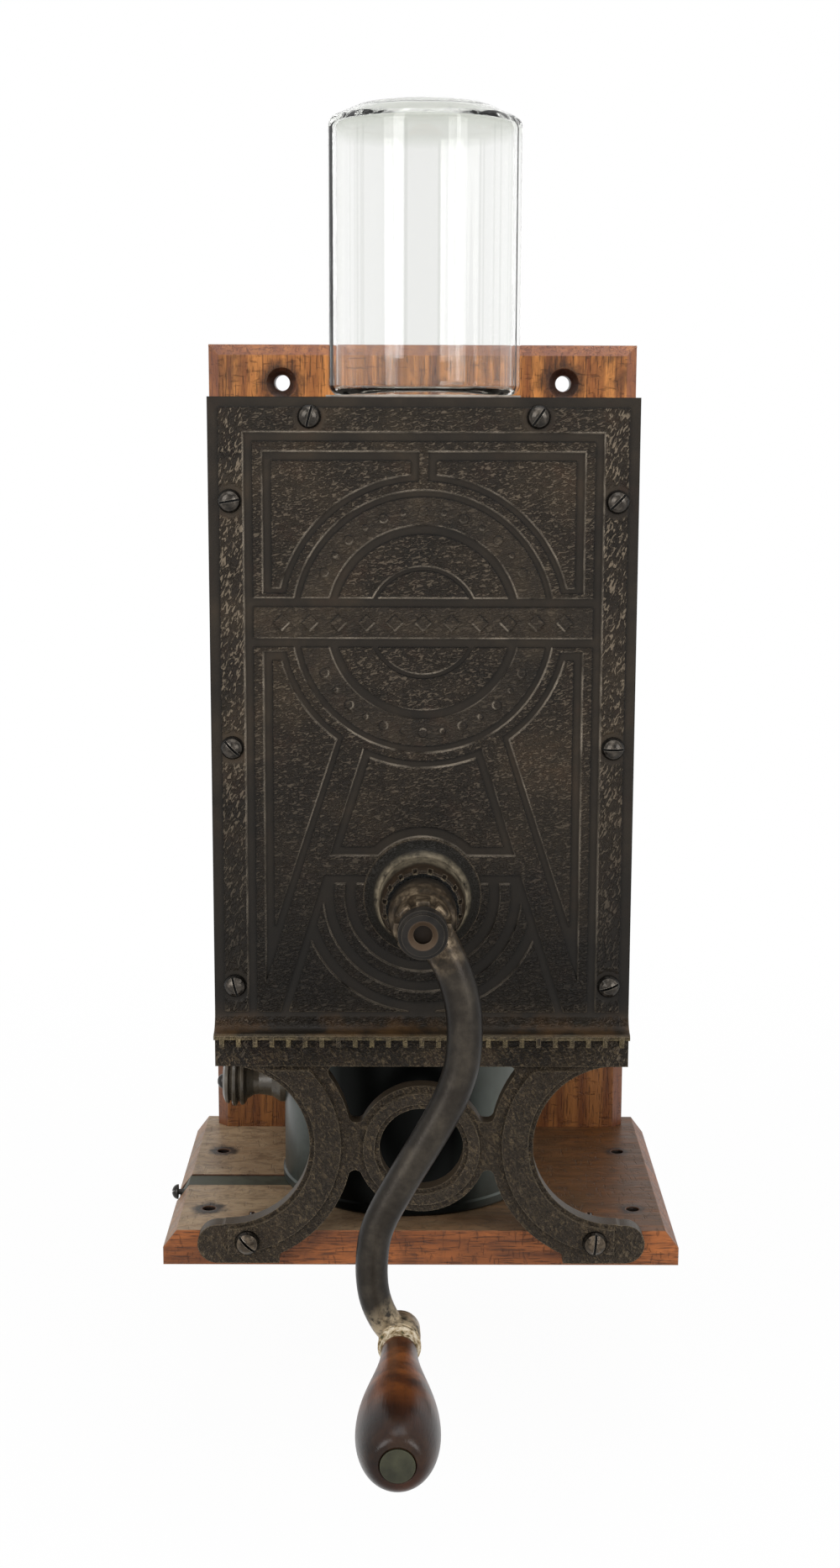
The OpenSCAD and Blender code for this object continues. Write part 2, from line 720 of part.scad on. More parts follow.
module front_casting() {
    color([0.2, 0.18, 0.15]) difference() {
        union() {
            translate([-plate_w / 2, field_y, plate_z - relief_end - 2])
                cube([plate_w, plate_t, relief_end + 2]);
            translate([0, 0, plate_z]) facing(field_y + eps) linear_extrude(relief_h + eps) relief_2d();
            translate([0, 0, plate_z]) facing(face_y + eps) linear_extrude(stud_h + eps) studs_2d();
            translate([-plate_w / 2, -base_d, plate_z]) rotate([90, 0, 90])
                linear_extrude(plate_w) mirror([1, 0]) polygon(ledge_section());
            for (i = [0:dentils - 1])
                translate([(i + 0.5) * plate_w / dentils - plate_w / 2 - dentil_w / 2,
                    -base_d - plate_t - ledge_out - 1.5, lip_z - 4.6])
                    cube([dentil_w, ledge_out, 4.2]);
            facing(-base_d) linear_extrude(leg_t) bracket_2d();
            facing(-base_d - leg_t + eps) linear_extrude(relief_h + eps) bracket_bands_2d();
            boss();
        }
        along(0, -base_d + 1, shaft_z) cylinder(r = bush_r, h = plate_t + boss_h + 2);
        at_face_screws() along(0, -base_d + 1, 0) cylinder(d = shank_d + 2 * hole_fit, h = plate_t + 4);
        at_foot_screws() along(0, -base_d + 1, 0) cylinder(d = shank_d + 2 * hole_fit, h = leg_t + 4);
        at_shell_screws() along(0, 1, 0) cylinder(d = 4, h = plate_t - 0.5);
    }
}

module shaft_bush() {
    color("darkgoldenrod") along(0, -base_d, shaft_z) difference() {
        cylinder(r = bush_r, h = plate_t + boss_h);
        translate([0, 0, -1]) cylinder(r = shaft_r + run_fit, h = plate_t + boss_h + 2);
    }
}
module thrust_washer() {
    color("dimgray") along(0, boss_y, shaft_z) difference() {
        cylinder(r = hub_r - 1, h = washer_t);
        translate([0, 0, -1]) cylinder(r = shaft_r + 0.1, h = washer_t + 2);
    }
}

module jar_collar() {
    color("gray") translate([0, -jar_y, 0]) difference() {
        union() {
            translate([0, 0, case_z]) cylinder(r = neck_r + 12, h = 2);
            translate([0, 0, mouth_z - 2]) cylinder(r = collar_r + 2, h = case_z - mouth_z + 2.1);
        }
        translate([0, 0, mouth_z - 0.6]) cylinder(r = collar_r, h = neck_h + 3);
        translate([0, 0, mouth_z - 3]) cylinder(r = neck_r - 5, h = 4);
        translate([0, jar_y, 0]) at_collar_screws() sunk_hole(5.4, 2.6, 10);
    }
}

module hopper_funnel() {
    flange_z = case_z - top_t;
    cone_r = neck_r + 9;
    color("slategray") translate([0, -jar_y, 0]) difference() {
        rotate_extrude() polygon([
            [cone_r - sheet_t, flange_z], [cone_r + 13, flange_z], [cone_r + 13, flange_z - sheet_t],
            [cone_r, flange_z - sheet_t], [cone_r, flange_z - 8],
            [spout_r + sheet_t, spout_z + 26], [spout_r + sheet_t, spout_z - 12],
            [spout_r, spout_z - 12], [spout_r, spout_z + 26.5], [cone_r - sheet_t, flange_z - 7.5]
        ]);
        translate([0, jar_y, 0]) at_funnel_screws() translate([0, 0, -1]) cylinder(d = 2.8, h = 6);
    }
}

module burr_shell() {
    color([0.25, 0.24, 0.23]) difference() {
        union() {
            along(0, bridge_y, shaft_z) cylinder(r = shell_r, h = shell_h);
            along(0, -base_d + 5, shaft_z) cylinder(r = shell_r + 2, h = 5);
            at_shell_screws() along(0, 5, 0) cylinder(r = 6.5, h = 5);
            translate([0, -jar_y, shaft_z + burr_r - 8])
                cylinder(r = inlet_r + inlet_wall, h = spout_z - shaft_z - burr_r + 8);
        }
        along(0, bridge_y + 1, shaft_z) cylinder(r = burr_r, h = shell_h + 2);
        translate([0, -jar_y, shaft_z + 4]) cylinder(r = inlet_r, h = spout_z - shaft_z);
        translate([-chute_w / 2 + 5, -base_d + 1, shaft_z - shell_r - 3])
            cube([chute_w - 10, chamber - 2, shell_r]);
        at_shell_screws() along(0, 6, 0) cylinder(d = 4 + 2 * hole_fit, h = 8);
        at_bridge_screws() along(0, 1, 0) cylinder(d = 3, h = 14);
    }
}

module ring_burr() {
    color("dimgray") along(0, worm_y, shaft_z) {
        difference() {
            cylinder(r = burr_r, h = burr_h);
            translate([0, 0, -eps]) cylinder(r1 = ring_r1, r2 = ring_r2, h = burr_h + 2 * eps);
            for (i = [0:ring_teeth - 1]) rotate([0, 0, i * 360 / ring_teeth])
                translate([ring_r1 - 3, -0.8, -1]) rotate([0, 15, 0]) cube([4.6, 1.6, burr_h + 4]);
        }
    }
}
module cone_burr() {
    cone_r1 = ring_r1 - burr_gap - 3.5;
    cone_r2 = ring_r2 - burr_gap;
    color("gray") along(0, worm_y + 1, shaft_z) difference() {
        cylinder(r1 = cone_r1, r2 = cone_r2, h = burr_h + 1);
        for (i = [0:cone_teeth - 1]) rotate([0, 0, (i + 0.5) * 360 / cone_teeth])
            translate([cone_r1 - 1.6, -1.6, -1]) rotate([0, 20, 0]) cube([6, 3.2, burr_h + 6]);
        translate([0, 0, -1]) cylinder(r = shaft_r, h = burr_h + 4);
        translate([0, 0, burr_h / 2 + 1]) rotate([0, 90, 0]) cylinder(r = 1.6, h = 60, center = true);
    }
}
module burr_pin() {
    color("silver") translate([0, worm_y - burr_h / 2, shaft_z]) rotate([0, 90, 0])
        cylinder(r = 1.6, h = 2 * (shaft_r + 5), center = true);
}

// Points of a screw-shaped blade round the shaft: four corners at each step of its turn
worm_r = 13.5;
worm_l = 34;
worm_turns = 2;
worm_steps = 48;
function worm_ring(i) =
    let (a = -360 * worm_turns * i / worm_steps, z = 1.2 + (worm_l - 5) * i / worm_steps)
    [for (c = [[shaft_r + 1.2, 0], [worm_r, 0.6], [worm_r, 1.8], [shaft_r + 1.2, 3.2]])
        [c[0] * cos(a), c[0] * sin(a), z + c[1]]];
// Solid through a row of rings, each a list of the same number of points
module swept(rings) {
    n = len(rings[0]);
    m = len(rings);
    polyhedron(
        points = [for (r = rings) for (p = r) p],
        faces = concat(
            [[for (j = [0:n - 1]) j]],
            [for (i = [0:m - 2]) for (j = [0:n - 1]) [i * n + j, (i + 1) * n + j, i * n + (j + 1) % n]],
            [for (i = [0:m - 2]) for (j = [0:n - 1])
                [i * n + (j + 1) % n, (i + 1) * n + j, (i + 1) * n + (j + 1) % n]],
            [[for (j = [n - 1:-1:0]) (m - 1) * n + j]]
        )
    );
}
module feed_worm() {
    color("gray") along(0, worm_y + 1 + worm_l, shaft_z) difference() {
        union() {
            cylinder(r = shaft_r + 2, h = worm_l);
            swept([for (i = [0:worm_steps]) worm_ring(i)]);
        }
        translate([0, 0, -1]) cylinder(r = shaft_r, h = worm_l + 2);
    }
}

module grinder_shaft() {
    color("silver") difference() {
        union() {
            along(0, tail_y, shaft_z) cylinder(r = shaft_r, h = tail_y - hub_y - slide_room);
            along(0, tail_y, shaft_z) cylinder(r = shaft_r - 0.5, h = tail_y - nut_y - slide_room);
            along(0, tail_y, shaft_z) cylinder(r = thread_r, h = tail_y - nut_y + nut_h - nut_hollow);
        }
        translate([0, worm_y - burr_h / 2, shaft_z]) rotate([0, 90, 0])
            cylinder(r = 1.6, h = 60, center = true);
        translate([-key_w / 2 - key_fit, nut_y - 1, key_z - key_fit])
            cube([key_w + 2 * key_fit, hub_h + 1, 2 * key_h]);
    }
}
module crank_key() {
    color("silver") translate([-key_w / 2, nut_y + 1, key_z]) cube([key_w, key_l, key_h]);
}

module rear_bridge() {
    color([0.25, 0.24, 0.23]) difference() {
        union() {
            along(0, bridge_y + bridge_t, shaft_z) cylinder(r = shell_r, h = bridge_t);
            along(0, tail_y - 2, shaft_z)
                cylinder(r1 = shaft_r + 5, r2 = shaft_r + 8, h = tail_y - 2 - bridge_y);
        }
        along(0, tail_y + 10, shaft_z) cylinder(r = shaft_r + run_fit, h = 60);
        at_bridge_screws() along(0, bridge_t + 1, 0) cylinder(d = 3 + 2 * hole_fit, h = bridge_t + 2);
    }
}

// Section of the sloping square pipe from the burr shell down through the case floor
module chute_section(top, foot, wall) polygon([
    [-base_d + chute_fit + wall, top], [-base_d + chamber + 2 - wall, top],
    [-base_d + chamber + 2 - wall, chute_z - 1.1 * wall],
    [-chute_y + chute_w / 2 - chute_fit - wall, case_foot + floor_t + 7 - 1.1 * wall],
    [-chute_y + chute_w / 2 - chute_fit - wall, foot],
    [-chute_y - chute_w / 2 + chute_fit + wall, foot],
    [-chute_y - chute_w / 2 + chute_fit + wall, case_foot + floor_t + 0.4 * wall],
    [-base_d + chute_fit + wall, chute_z - 3 + 0.4 * wall]
]);
module grounds_chute() {
    half = chute_w / 2 - chute_fit;
    lip = 3;
    color("slategray") difference() {
        union() {
            translate([-half, 0, 0]) rotate([90, 0, 90]) linear_extrude(2 * half)
                chute_section(chute_z, case_foot + 0.2, 0);
            translate([-half - lip, -chute_y - chute_w / 2, case_foot + floor_t])
                cube([2 * (half + lip), chute_w + lip, sheet_t]);
        }
        translate([-half + sheet_t, 0, 0]) rotate([90, 0, 90]) linear_extrude(2 * (half - sheet_t))
            chute_section(chute_z + 1, case_foot - 1, sheet_t);
    }
}

module cup_spring() {
    color("darkslategray") translate([0, -strip_y + strip_b / 2, 0]) difference() {
        facing(0) linear_extrude(strip_b) polygon([
            [-base_w / 2 + strip_l, base_z - strip_sunk],
            [-base_w / 2 + strip_l, base_z - strip_sunk - strip_t],
            [-base_w / 2 + end_bevel_w, base_z - strip_sunk - strip_t],
            [-base_w / 2 + strip_t + strip_sunk + 0.4, base_z - end_bevel_h - 1],
            [-base_w / 2 + strip_t + strip_sunk + 0.4, base_z - base_t + 3],
            [-base_w / 2 + strip_sunk + 0.4, base_z - base_t + 3],
            [-base_w / 2 + strip_sunk + 0.4, base_z - end_bevel_h - 0.4],
            [-base_w / 2 + end_bevel_w - 0.6, base_z - strip_sunk]
        ]);
        translate([-base_w / 2 - 2, -strip_b / 2, base_z - end_bevel_h / 2 - 2]) rotate([0, 90, 0])
            cylinder(d = 2.6, h = 14);
    }
}
module spring_screw() {
    color("dimgray") translate([-base_w / 2, -strip_y, base_z - end_bevel_h / 2 - 2])
        rotate([0, 0, -90]) face_screw(7, 2.6, 14, 30);
}

slot_turns = [75, 10, -45, -75, 55, 45, 0, 20];
module plate_screws() {
    color("dimgray") for (s = [-1, 1]) {
        translate([s * top_screw_x, face_y, plate_z - top_screw_t])
            face_screw(head_d, shank_d, grip_in + plate_t, slot_turns[s < 0 ? 0 : 4]);
        for (i = [0:2]) translate([s * face_screw_x, face_y, plate_z - face_screw_t[i]])
            face_screw(head_d, shank_d, grip_in + plate_t, slot_turns[(s < 0 ? 1 : 5) + i]);
    }
}
module foot_screws() {
    color("dimgray") for (s = [-1, 1])
        translate([s * foot_screw_x, -base_d - leg_t - relief_h, foot_screw_z])
            face_screw(foot_head_d, shank_d, leg_t + 22, s < 0 ? -45 : 85);
}
module shell_screws() {
    color("dimgray") at_shell_screws() translate([0, 5, 0]) rotate([180, 0, 0]) {
        along(0, 0, 0) cylinder(d = 7.5, h = 3, $fn = 6);
        along(0, 5 + plate_t - 1.5, 0) cylinder(d = 4, h = 5 + plate_t - 1.5 + eps);
    }
}
module bridge_screws() {
    color("dimgray") at_bridge_screws() translate([0, bridge_t, 0]) rotate([180, 0, 0])
        face_screw(5.5, 3, bridge_t + 12, 0);
}
module funnel_screws() {
    color("dimgray") at_funnel_screws() rotate([90, 0, 0]) face_screw(5, 2.6, 8 + sheet_t, 0);
}
module collar_screws() {
    color("dimgray") at_collar_screws() sunk_screw(5.4, 2.6, 10);
}
module back_screws() {
    color("dimgray") at_back_screws() sunk_screw(board_screw_d, board_shank_d, back_screw_l);
}
module base_screws() {
    color("dimgray") at_base_screws() sunk_screw(board_screw_d, board_shank_d, base_screw_l);
}
module top_screws() {
    color("dimgray") at_top_screws() sunk_screw(top_screw_d, top_shank_d, top_screw_l);
}
module floor_nails() {
    color("dimgray") at_floor_nails() cylinder(d = nail_d, h = nail_l);
}

function curve(a, b, c, d, u) = 0.5 * (2 * b + (c - a) * u + (2 * a - 5 * b + 4 * c - d) * u * u
    + (3 * b - a - 3 * c + d) * u * u * u);
function route_at(s) =
    let (last = len(arm_route) - 1, i = min(floor(s), last - 1), u = s - i)
    curve(arm_route[max(i - 1, 0)], arm_route[i], arm_route[i + 1], arm_route[min(i + 2, last)], u);
arm_sides = 20;
arm_rings = 48;
// Ring of the crank bar at a part f of its length
function arm_ring(f) =
    let (
        last = len(arm_route) - 1, s = f * last,
        p = route_at(s), ahead = route_at(min(s + 0.05, last)), behind = route_at(max(s - 0.05, 0)),
        along = (ahead - behind) / norm(ahead - behind),
        side = cross(along, [0, 1, 0]) / norm(cross(along, [0, 1, 0])),
        up = cross(side, along),
        r = (arm_d1 + (arm_d2 - arm_d1) * f) / 2
    )
    [for (j = [0:arm_sides - 1])
        let (q = p + r * (cos(360 * j / arm_sides) * side + sin(360 * j / arm_sides) * up))
        [q[0], arm_y - q[1], shaft_z + q[2]]];

module crank_arm() {
    color([0.28, 0.27, 0.26]) difference() {
        union() {
            swept([for (i = [0:arm_rings]) arm_ring(i / arm_rings)]);
            along(0, hub_y, shaft_z) cylinder(r1 = hub_r, r2 = hub_r - 2.2, h = 13);
            along(0, hub_y - 12.9, shaft_z) cylinder(r1 = hub_r - 2.8, r2 = hub_r - 3.4, h = hub_h - 12.9);
            along(eye_x, eye_y + arm_eye_h / 2, eye_z) cylinder(d = arm_eye_d, h = arm_eye_h);
        }
        along(0, hub_y + 1, shaft_z) cylinder(r = shaft_r - 0.5 + run_fit, h = hub_h + 2);
        along(eye_x, eye_y + arm_eye_h, eye_z) cylinder(r = rivet_r, h = 2 * arm_eye_h);
        translate([-key_w / 2, nut_y + 1, key_z]) cube([key_w, key_l, key_h]);
        for (i = [0:7]) translate([0, nut_y, shaft_z]) rotate([0, i * 45 + 22.5, 0])
            translate([hub_r - 6, -1, -1.6]) cube([8, 3.6, 3.2]);
    }
}
module handle_rivet() {
    tail = eye_y + arm_eye_h / 2;
    front_y = grip_y - ferrule_h - grip_h;
    color("dimgray") {
        along(eye_x, tail, eye_z) cylinder(r = rivet_r, h = tail - front_y - 0.5);
        along(eye_x, front_y + rivet_sink - 0.4, eye_z) cylinder(d = rivet_head_d, h = rivet_sink);
        along(eye_x, tail + 1.6, eye_z) cylinder(r1 = rivet_r + 0.6, r2 = rivet_r + 2, h = 1.6);
    }
}

module regulating_nut() {
    color([0.3, 0.27, 0.23]) along(0, nut_y - 0.2, shaft_z) difference() {
        union() {
            cylinder(d = nut_d, h = nut_h - 1.5);
            cylinder(d1 = nut_d - 1, d2 = nut_d - 3, h = nut_h);
        }
        translate([0, 0, -1]) cylinder(r = thread_r + run_fit, h = nut_h - 1);
        translate([0, 0, -1]) cylinder(r = 3.4, h = nut_h + 4);
        translate([0, 0, nut_h - 2.4]) cylinder(r1 = 3.4, r2 = 5.9, h = 2.5);
    }
}

// Half outline of the grip from its neck (h = 0) to its front end
function grip_r(f) = neck_d / 2 + (grip_d - neck_d) / 2 * pow(sin(90 * pow(min(f / 0.74, 1), 1.25)), 1.3)
    - (f > 0.74 ? (grip_d / 2 - rivet_head_d / 2 - 2) * (1 - sqrt(1 - pow((f - 0.74) / 0.26, 2))) : 0);
module handle_grip() {
    color([0.3, 0.13, 0.08]) along(eye_x, grip_y - ferrule_h, eye_z) difference() {
        rotate_extrude() polygon(concat(
            [[rivet_r + run_fit, 0]],
            [for (i = [0:24]) [grip_r(i / 24), grip_h * i / 24]],
            [[rivet_head_d / 2 + run_fit, grip_h], [rivet_head_d / 2 + run_fit, grip_h - rivet_sink],
                [rivet_r + run_fit, grip_h - rivet_sink]]
        ));
    }
}
module handle_ferrule() {
    color([0.55, 0.48, 0.36]) along(eye_x, grip_y, eye_z) rotate_extrude() polygon([
        [rivet_r + run_fit, 0], [neck_d / 2 + 0.6, 0], [neck_d / 2 + 1.6, 1.2],
        [neck_d / 2 + 1.6, 3], [neck_d / 2 + 0.8, 4.2], [neck_d / 2 + 0.4, ferrule_h],
        [rivet_r + run_fit, ferrule_h]
    ]);
}

module cup() {
    color([0.5, 0.53, 0.52]) translate([cup_x, -cup_y, cup_foot]) difference() {
        rotate_extrude($fn = 96) polygon([
            [0, 1], [cup_r - cup_t, 1], [cup_r - cup_t, cup_h - 1.5], [cup_r - cup_t - 0.2, cup_h],
            [cup_r + 0.6, cup_h], [cup_r + 0.8, cup_h - 1.4], [cup_r, cup_h - 2.6],
            [cup_r, 5], [cup_r + 0.9, 4.2], [cup_r + 0.9, 1], [cup_r, 0], [cup_r - 2, 0],
            [cup_r - 3, 1 - cup_t / 2], [0, 1 - cup_t / 2]
        ]);
        translate([0, 0, knob_z - cup_fit]) rotate([0, -90, 0]) cylinder(r = 1.6, h = 2 * cup_r);
    }
}
// Half outline of the knob, from its outer end
module cup_knob() {
    rib = knob_d / 2;
    groove = rib - 2.4;
    color([0.1, 0.09, 0.09]) difference() {
        translate([knob_x, -cup_y, base_z + knob_z]) rotate([0, 90, 0]) rotate_extrude() polygon([
            [1.6, 0], [rib - 4.5, 0], [rib - 1.6, 1.2], [rib - 1, 2.6], [groove - 0.4, 3.6],
            [rib, 4.8], [rib, 6.2], [groove, 7.4],
            [rib - 0.4, 8.6], [rib - 0.6, 10], [groove - 1, 11.4],
            [rib * 0.55, 14.5], [rib * 0.52, 17], [rib * 0.6, knob_h - 6],
            [rib * 0.82, knob_h - 2], [rib * 0.82, knob_h + 4], [1.6, knob_h + 4]
        ]);
        translate([cup_x, -cup_y, base_z]) cylinder(r = cup_r, h = cup_h, $fn = 96);
    }
}
module knob_screw() {
    color("dimgray") translate([knob_x, -cup_y, base_z + knob_z]) rotate([0, 0, -90])
        face_screw(7, 3.2, knob_h + cup_t + 4, 60);
}
module knob_nut() {
    color("dimgray") translate([cup_x - cup_r + cup_t, -cup_y, base_z + knob_z]) rotate([0, 90, 0])
        difference() {
            translate([-3.5, -3.5, 0.1]) cube([7, 7, 2.4]);
            translate([0, 0, -1]) cylinder(r = 1.6, h = 6);
        }
}

module jar() {
    flat_r = jar_r * cos(15);
    top_z = seat_z + jar_h;
    color([0.85, 0.9, 0.88, 0.35]) translate([0, -jar_y, 0]) difference() {
        union() {
            intersection() {
                translate([0, 0, seat_z]) rotate([0, 0, jar_turn + 15])
                    cylinder(r = jar_r, h = jar_h, $fn = 12);
                rotate_extrude() polygon(concat(
                    [[0, seat_z], [flat_r - 5, seat_z]],
                    [for (a = [0:22.5:90]) [jar_r - 5 + 5 * sin(a), seat_z + 5.5 - 5 * cos(a)]],
                    [for (a = [0:15:90]) [jar_r - 10 + 10 * cos(a), top_z - 8 + 8 * sin(a)]],
                    [[0, top_z]]
                ));
            }
            translate([0, 0, mouth_z]) cylinder(r = neck_r, h = neck_h + 1);
        }
        rotate_extrude() polygon(concat(
            [[0, mouth_z - 1], [neck_r - glass_t, mouth_z - 1], [neck_r - glass_t, seat_z + 1]],
            [for (a = [0:22.5:90]) [flat_r - glass_t - 5 + 5 * sin(a), seat_z + glass_t + 5 - 5 * cos(a)]],
            [for (a = [0:15:90]) [flat_r - glass_t - 8 + 8 * cos(a), top_z - glass_t - 9 + 6 * sin(a)]],
            [[0, top_z - glass_t - 1.5]]
        ));
    }
}

back_board();
base_board();
case_left_side();
case_right_side();
case_top();
case_floor();
front_casting();
shaft_bush();
thrust_washer();
jar_collar();
hopper_funnel();
burr_shell();
ring_burr();
rear_bridge();
grounds_chute();
cup_spring();
spring_screw();
plate_screws();
foot_screws();
shell_screws();
bridge_screws();
funnel_screws();
collar_screws();
back_screws();
base_screws();
top_screws();
floor_nails();
crank_arm();
crank_key();
handle_rivet();
grinder_shaft();
cone_burr();
feed_worm();
burr_pin();
regulating_nut();
handle_grip();
handle_ferrule();
cup();
cup_knob();
knob_screw();
knob_nut();
jar();
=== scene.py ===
# Looks of the wall coffee mill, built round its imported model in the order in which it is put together.
# Metres; +X right, +Y into the wall, +Z up; the origin is the middle of the two hanging holes.
import math

import bmesh
import bpy
import numpy as np
from mathutils import Matrix, Vector


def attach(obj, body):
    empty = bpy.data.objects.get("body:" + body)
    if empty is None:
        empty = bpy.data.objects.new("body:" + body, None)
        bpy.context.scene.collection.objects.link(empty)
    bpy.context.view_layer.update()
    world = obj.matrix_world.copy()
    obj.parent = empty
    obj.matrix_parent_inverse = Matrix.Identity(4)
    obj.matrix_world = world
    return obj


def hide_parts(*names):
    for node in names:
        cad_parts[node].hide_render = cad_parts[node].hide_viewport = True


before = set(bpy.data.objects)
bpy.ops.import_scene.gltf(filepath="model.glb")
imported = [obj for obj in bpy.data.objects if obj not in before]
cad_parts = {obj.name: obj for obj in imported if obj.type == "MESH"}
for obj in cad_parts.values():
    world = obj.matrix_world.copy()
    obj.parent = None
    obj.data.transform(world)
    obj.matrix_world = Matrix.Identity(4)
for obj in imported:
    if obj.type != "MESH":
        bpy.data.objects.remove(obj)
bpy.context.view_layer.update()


# Back board
# One flat oak board with planed bevels on its front edges, grain upright. It hangs on two
# round-head screws through the countersunk holes in its top and carries everything else.
def linear(colour):
    """Linear colour of a #rrggbb code; a colour that is linear already stays as it is."""
    if not isinstance(colour, str):
        return tuple(colour)
    parts = [int(colour[i:i + 2], 16) / 255 for i in (1, 3, 5)]
    return tuple(c / 12.92 if c <= 0.04045 else ((c + 0.055) / 1.055) ** 2.4 for c in parts)


def scaled(colour, by):
    """The colour times a factor, with no part over 1."""
    return tuple(min(1.0, by * c) for c in linear(colour))


class Finish:
    """A material whose nodes read the object's own coordinates in metres."""

    def __init__(self, name, **shader):
        """shader holds plain values for the shader's sockets, with _ for the spaces in their names."""
        self.material = bpy.data.materials.new(name)
        self.material.use_nodes = True
        self.tree = self.material.node_tree
        self.shader = self.tree.nodes["Principled BSDF"]
        for socket, value in shader.items():
            self.shader.inputs[socket.replace("_", " ")].default_value = value
        self.place = self.node("TexCoord", out="Object")

    def node(self, kind, out=0, props=None, **inputs):
        """Adds a node and returns one output. An input is a socket or a plain value, and i0, i1 and so
        on name it by its number."""
        made = self.tree.nodes.new("ShaderNode" + kind)
        for name, value in (props or {}).items():
            setattr(made, name, value)
        for name, value in inputs.items():
            key = int(name[1:]) if name[0] == "i" and name[1:].isdigit() else name.replace("_", " ")
            if isinstance(value, bpy.types.NodeSocket):
                self.tree.links.new(value, made.inputs[key])
            else:
                made.inputs[key].default_value = value
        return made.outputs[out]

    def maths(self, operation, a, b=0.0):
        """Blender's maths operation on two numbers."""
        return self.node("Math", props={"operation": operation}, i0=a, i1=b)

    def vector(self, operation, a, b=(0, 0, 0), out=0):
        """Blender's maths operation on two vectors; out is Value where it gives a number."""
        return self.node("VectorMath", out=out, props={"operation": operation}, i0=a, i1=b)

    def times(self, first, *others):
        """Product of all of them."""
        for other in others:
            first = self.maths("MULTIPLY", first, other)
        return first

    def mapped(self, value, low, high, at_low, at_high):
        """at_low below low, at_high above high, straight between."""
        return self.node("MapRange", i0=value, i1=low, i2=high, i3=at_low, i4=at_high)

    def step(self, value, low, high):
        """0 below low, 1 above high, straight between; with low over high it falls from 1 to 0."""
        return self.mapped(value, low, high, 0.0, 1.0)

    def past(self, value, edge, soft):
        """0 before the edge, 1 past it, straight over soft on each side; it falls where soft is negative."""
        return self.step(value, edge - soft, edge + soft)

    def between(self, a, b, share):
        """a + (b - a) * share, for numbers."""
        return self.maths("ADD", a, self.times(share, b - a))

    def blend(self, share, a, b):
        """Colour a, with colour b laid over it by share."""
        made = self.tree.nodes.new("ShaderNodeMix")
        made.data_type = "RGBA"
        for socket, value in zip((made.inputs[0], made.inputs[6], made.inputs[7]), (share, a, b)):
            if isinstance(value, bpy.types.NodeSocket):
                self.tree.links.new(value, socket)
            else:
                socket.default_value = value if isinstance(value, float) else (*value, 1.0)
        return made.outputs[2]

    def lay(self, colour, tint, *shares):
        """The colour, with a plain tint laid over it by the product of the shares."""
        return self.blend(self.times(*shares), colour, linear(tint))

    def ramp(self, value, *stops):
        """Colours at places from 0 to 1 along value, each stop being a place and a colour."""
        made = self.tree.nodes.new("ShaderNodeValToRGB")
        self.tree.links.new(value, made.inputs[0])
        points = made.color_ramp.elements
        while len(points) < len(stops):
            points.new(0.5)
        for point, (where, colour) in zip(points, stops):
            point.position = where
            point.color = (*linear(colour), 1.0)
        return made.outputs[0]

    def stretched(self, scale, turn=(0, 0, 0), place=None):
        """Coordinates turned by degrees, then multiplied along each axis."""
        turned = self.node("Mapping", Vector=place or self.place, Rotation=[math.radians(a) for a in turn])
        return self.vector("MULTIPLY", turned, scale)

    def noise(self, scale, place=None, detail=3.0, rough=0.5, wander=0.0):
        """Cloudy noise from 0 to 1; scale is features per metre."""
        return self.node("TexNoise", out="Fac", Vector=place or self.place, Scale=scale, Detail=detail,
                         Roughness=rough, Distortion=wander)

    def waves(self, scale, place, wander, fine, axis):
        """Bands along one axis, bent by noise."""
        return self.node("TexWave", out="Fac", props={"bands_direction": axis}, Vector=place, Scale=scale,
                         Distortion=wander, Detail=fine)

    def axis(self, which):
        """One coordinate of the object, in metres."""
        return self.node("SeparateXYZ", out=which, Vector=self.place)

    def normal(self, which):
        """One part of the surface's normal, from -1 to 1."""
        return self.node("SeparateXYZ", out=which, Vector=self.node("NewGeometry", out="Normal"))

    def away(self, point, place=None):
        """Distance from a point, in metres."""
        return self.vector("DISTANCE", place or self.place, point, out="Value")

    def edges(self, radius, low=0.02, high=0.25):
        """Share of wear on sharp edges: how far the rounded normal leans from the true one."""
        rounded = self.node("Bevel", props={"samples": 4}, Radius=radius)
        true = self.node("NewGeometry", out="Normal")
        lean = self.vector("DOT_PRODUCT", rounded, true, out="Value")
        return self.step(self.maths("SUBTRACT", 1.0, lean), low, high)

    def bump(self, height, depth, strength, soften=0.0):
        """Normal raised by height times depth metres, over edges rounded by soften metres."""
        inputs = {"Height": height, "Distance": depth, "Strength": strength}
        if soften:
            inputs["Normal"] = self.node("Bevel", props={"samples": 4}, Radius=soften)
        return self.node("Bump", **inputs)

    def out(self, **links):
        """Links sockets to the shader's inputs and returns the material."""
        for socket, value in links.items():
            self.tree.links.new(value, self.shader.inputs[socket.replace("_", " ")])
        return self.material


def dress(material, *names):
    """Gives the material to CAD nodes, whose meshes stay."""
    for name in names:
        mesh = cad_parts[name].data
        mesh.materials.clear()
        mesh.materials.append(material)


def ring_stain(f, holes, inner, outer, across=(1, 0, 1)):
    """1 within inner of a hole's middle, falling to 0 at about outer with a ragged edge: noise times outer
    is added to the distance, which is measured along the axes that are 1 in across."""
    ragged = f.times(f.noise(190.0, detail=5.0, rough=0.7), outer)
    flat = f.vector("MULTIPLY", f.place, across)
    stain = 0.0
    for hole in holes:
        near = f.step(f.maths("ADD", f.away(hole, flat), ragged), 1.5 * outer, inner + 0.5 * outer)
        stain = f.maths("MAXIMUM", near, stain)
    return stain


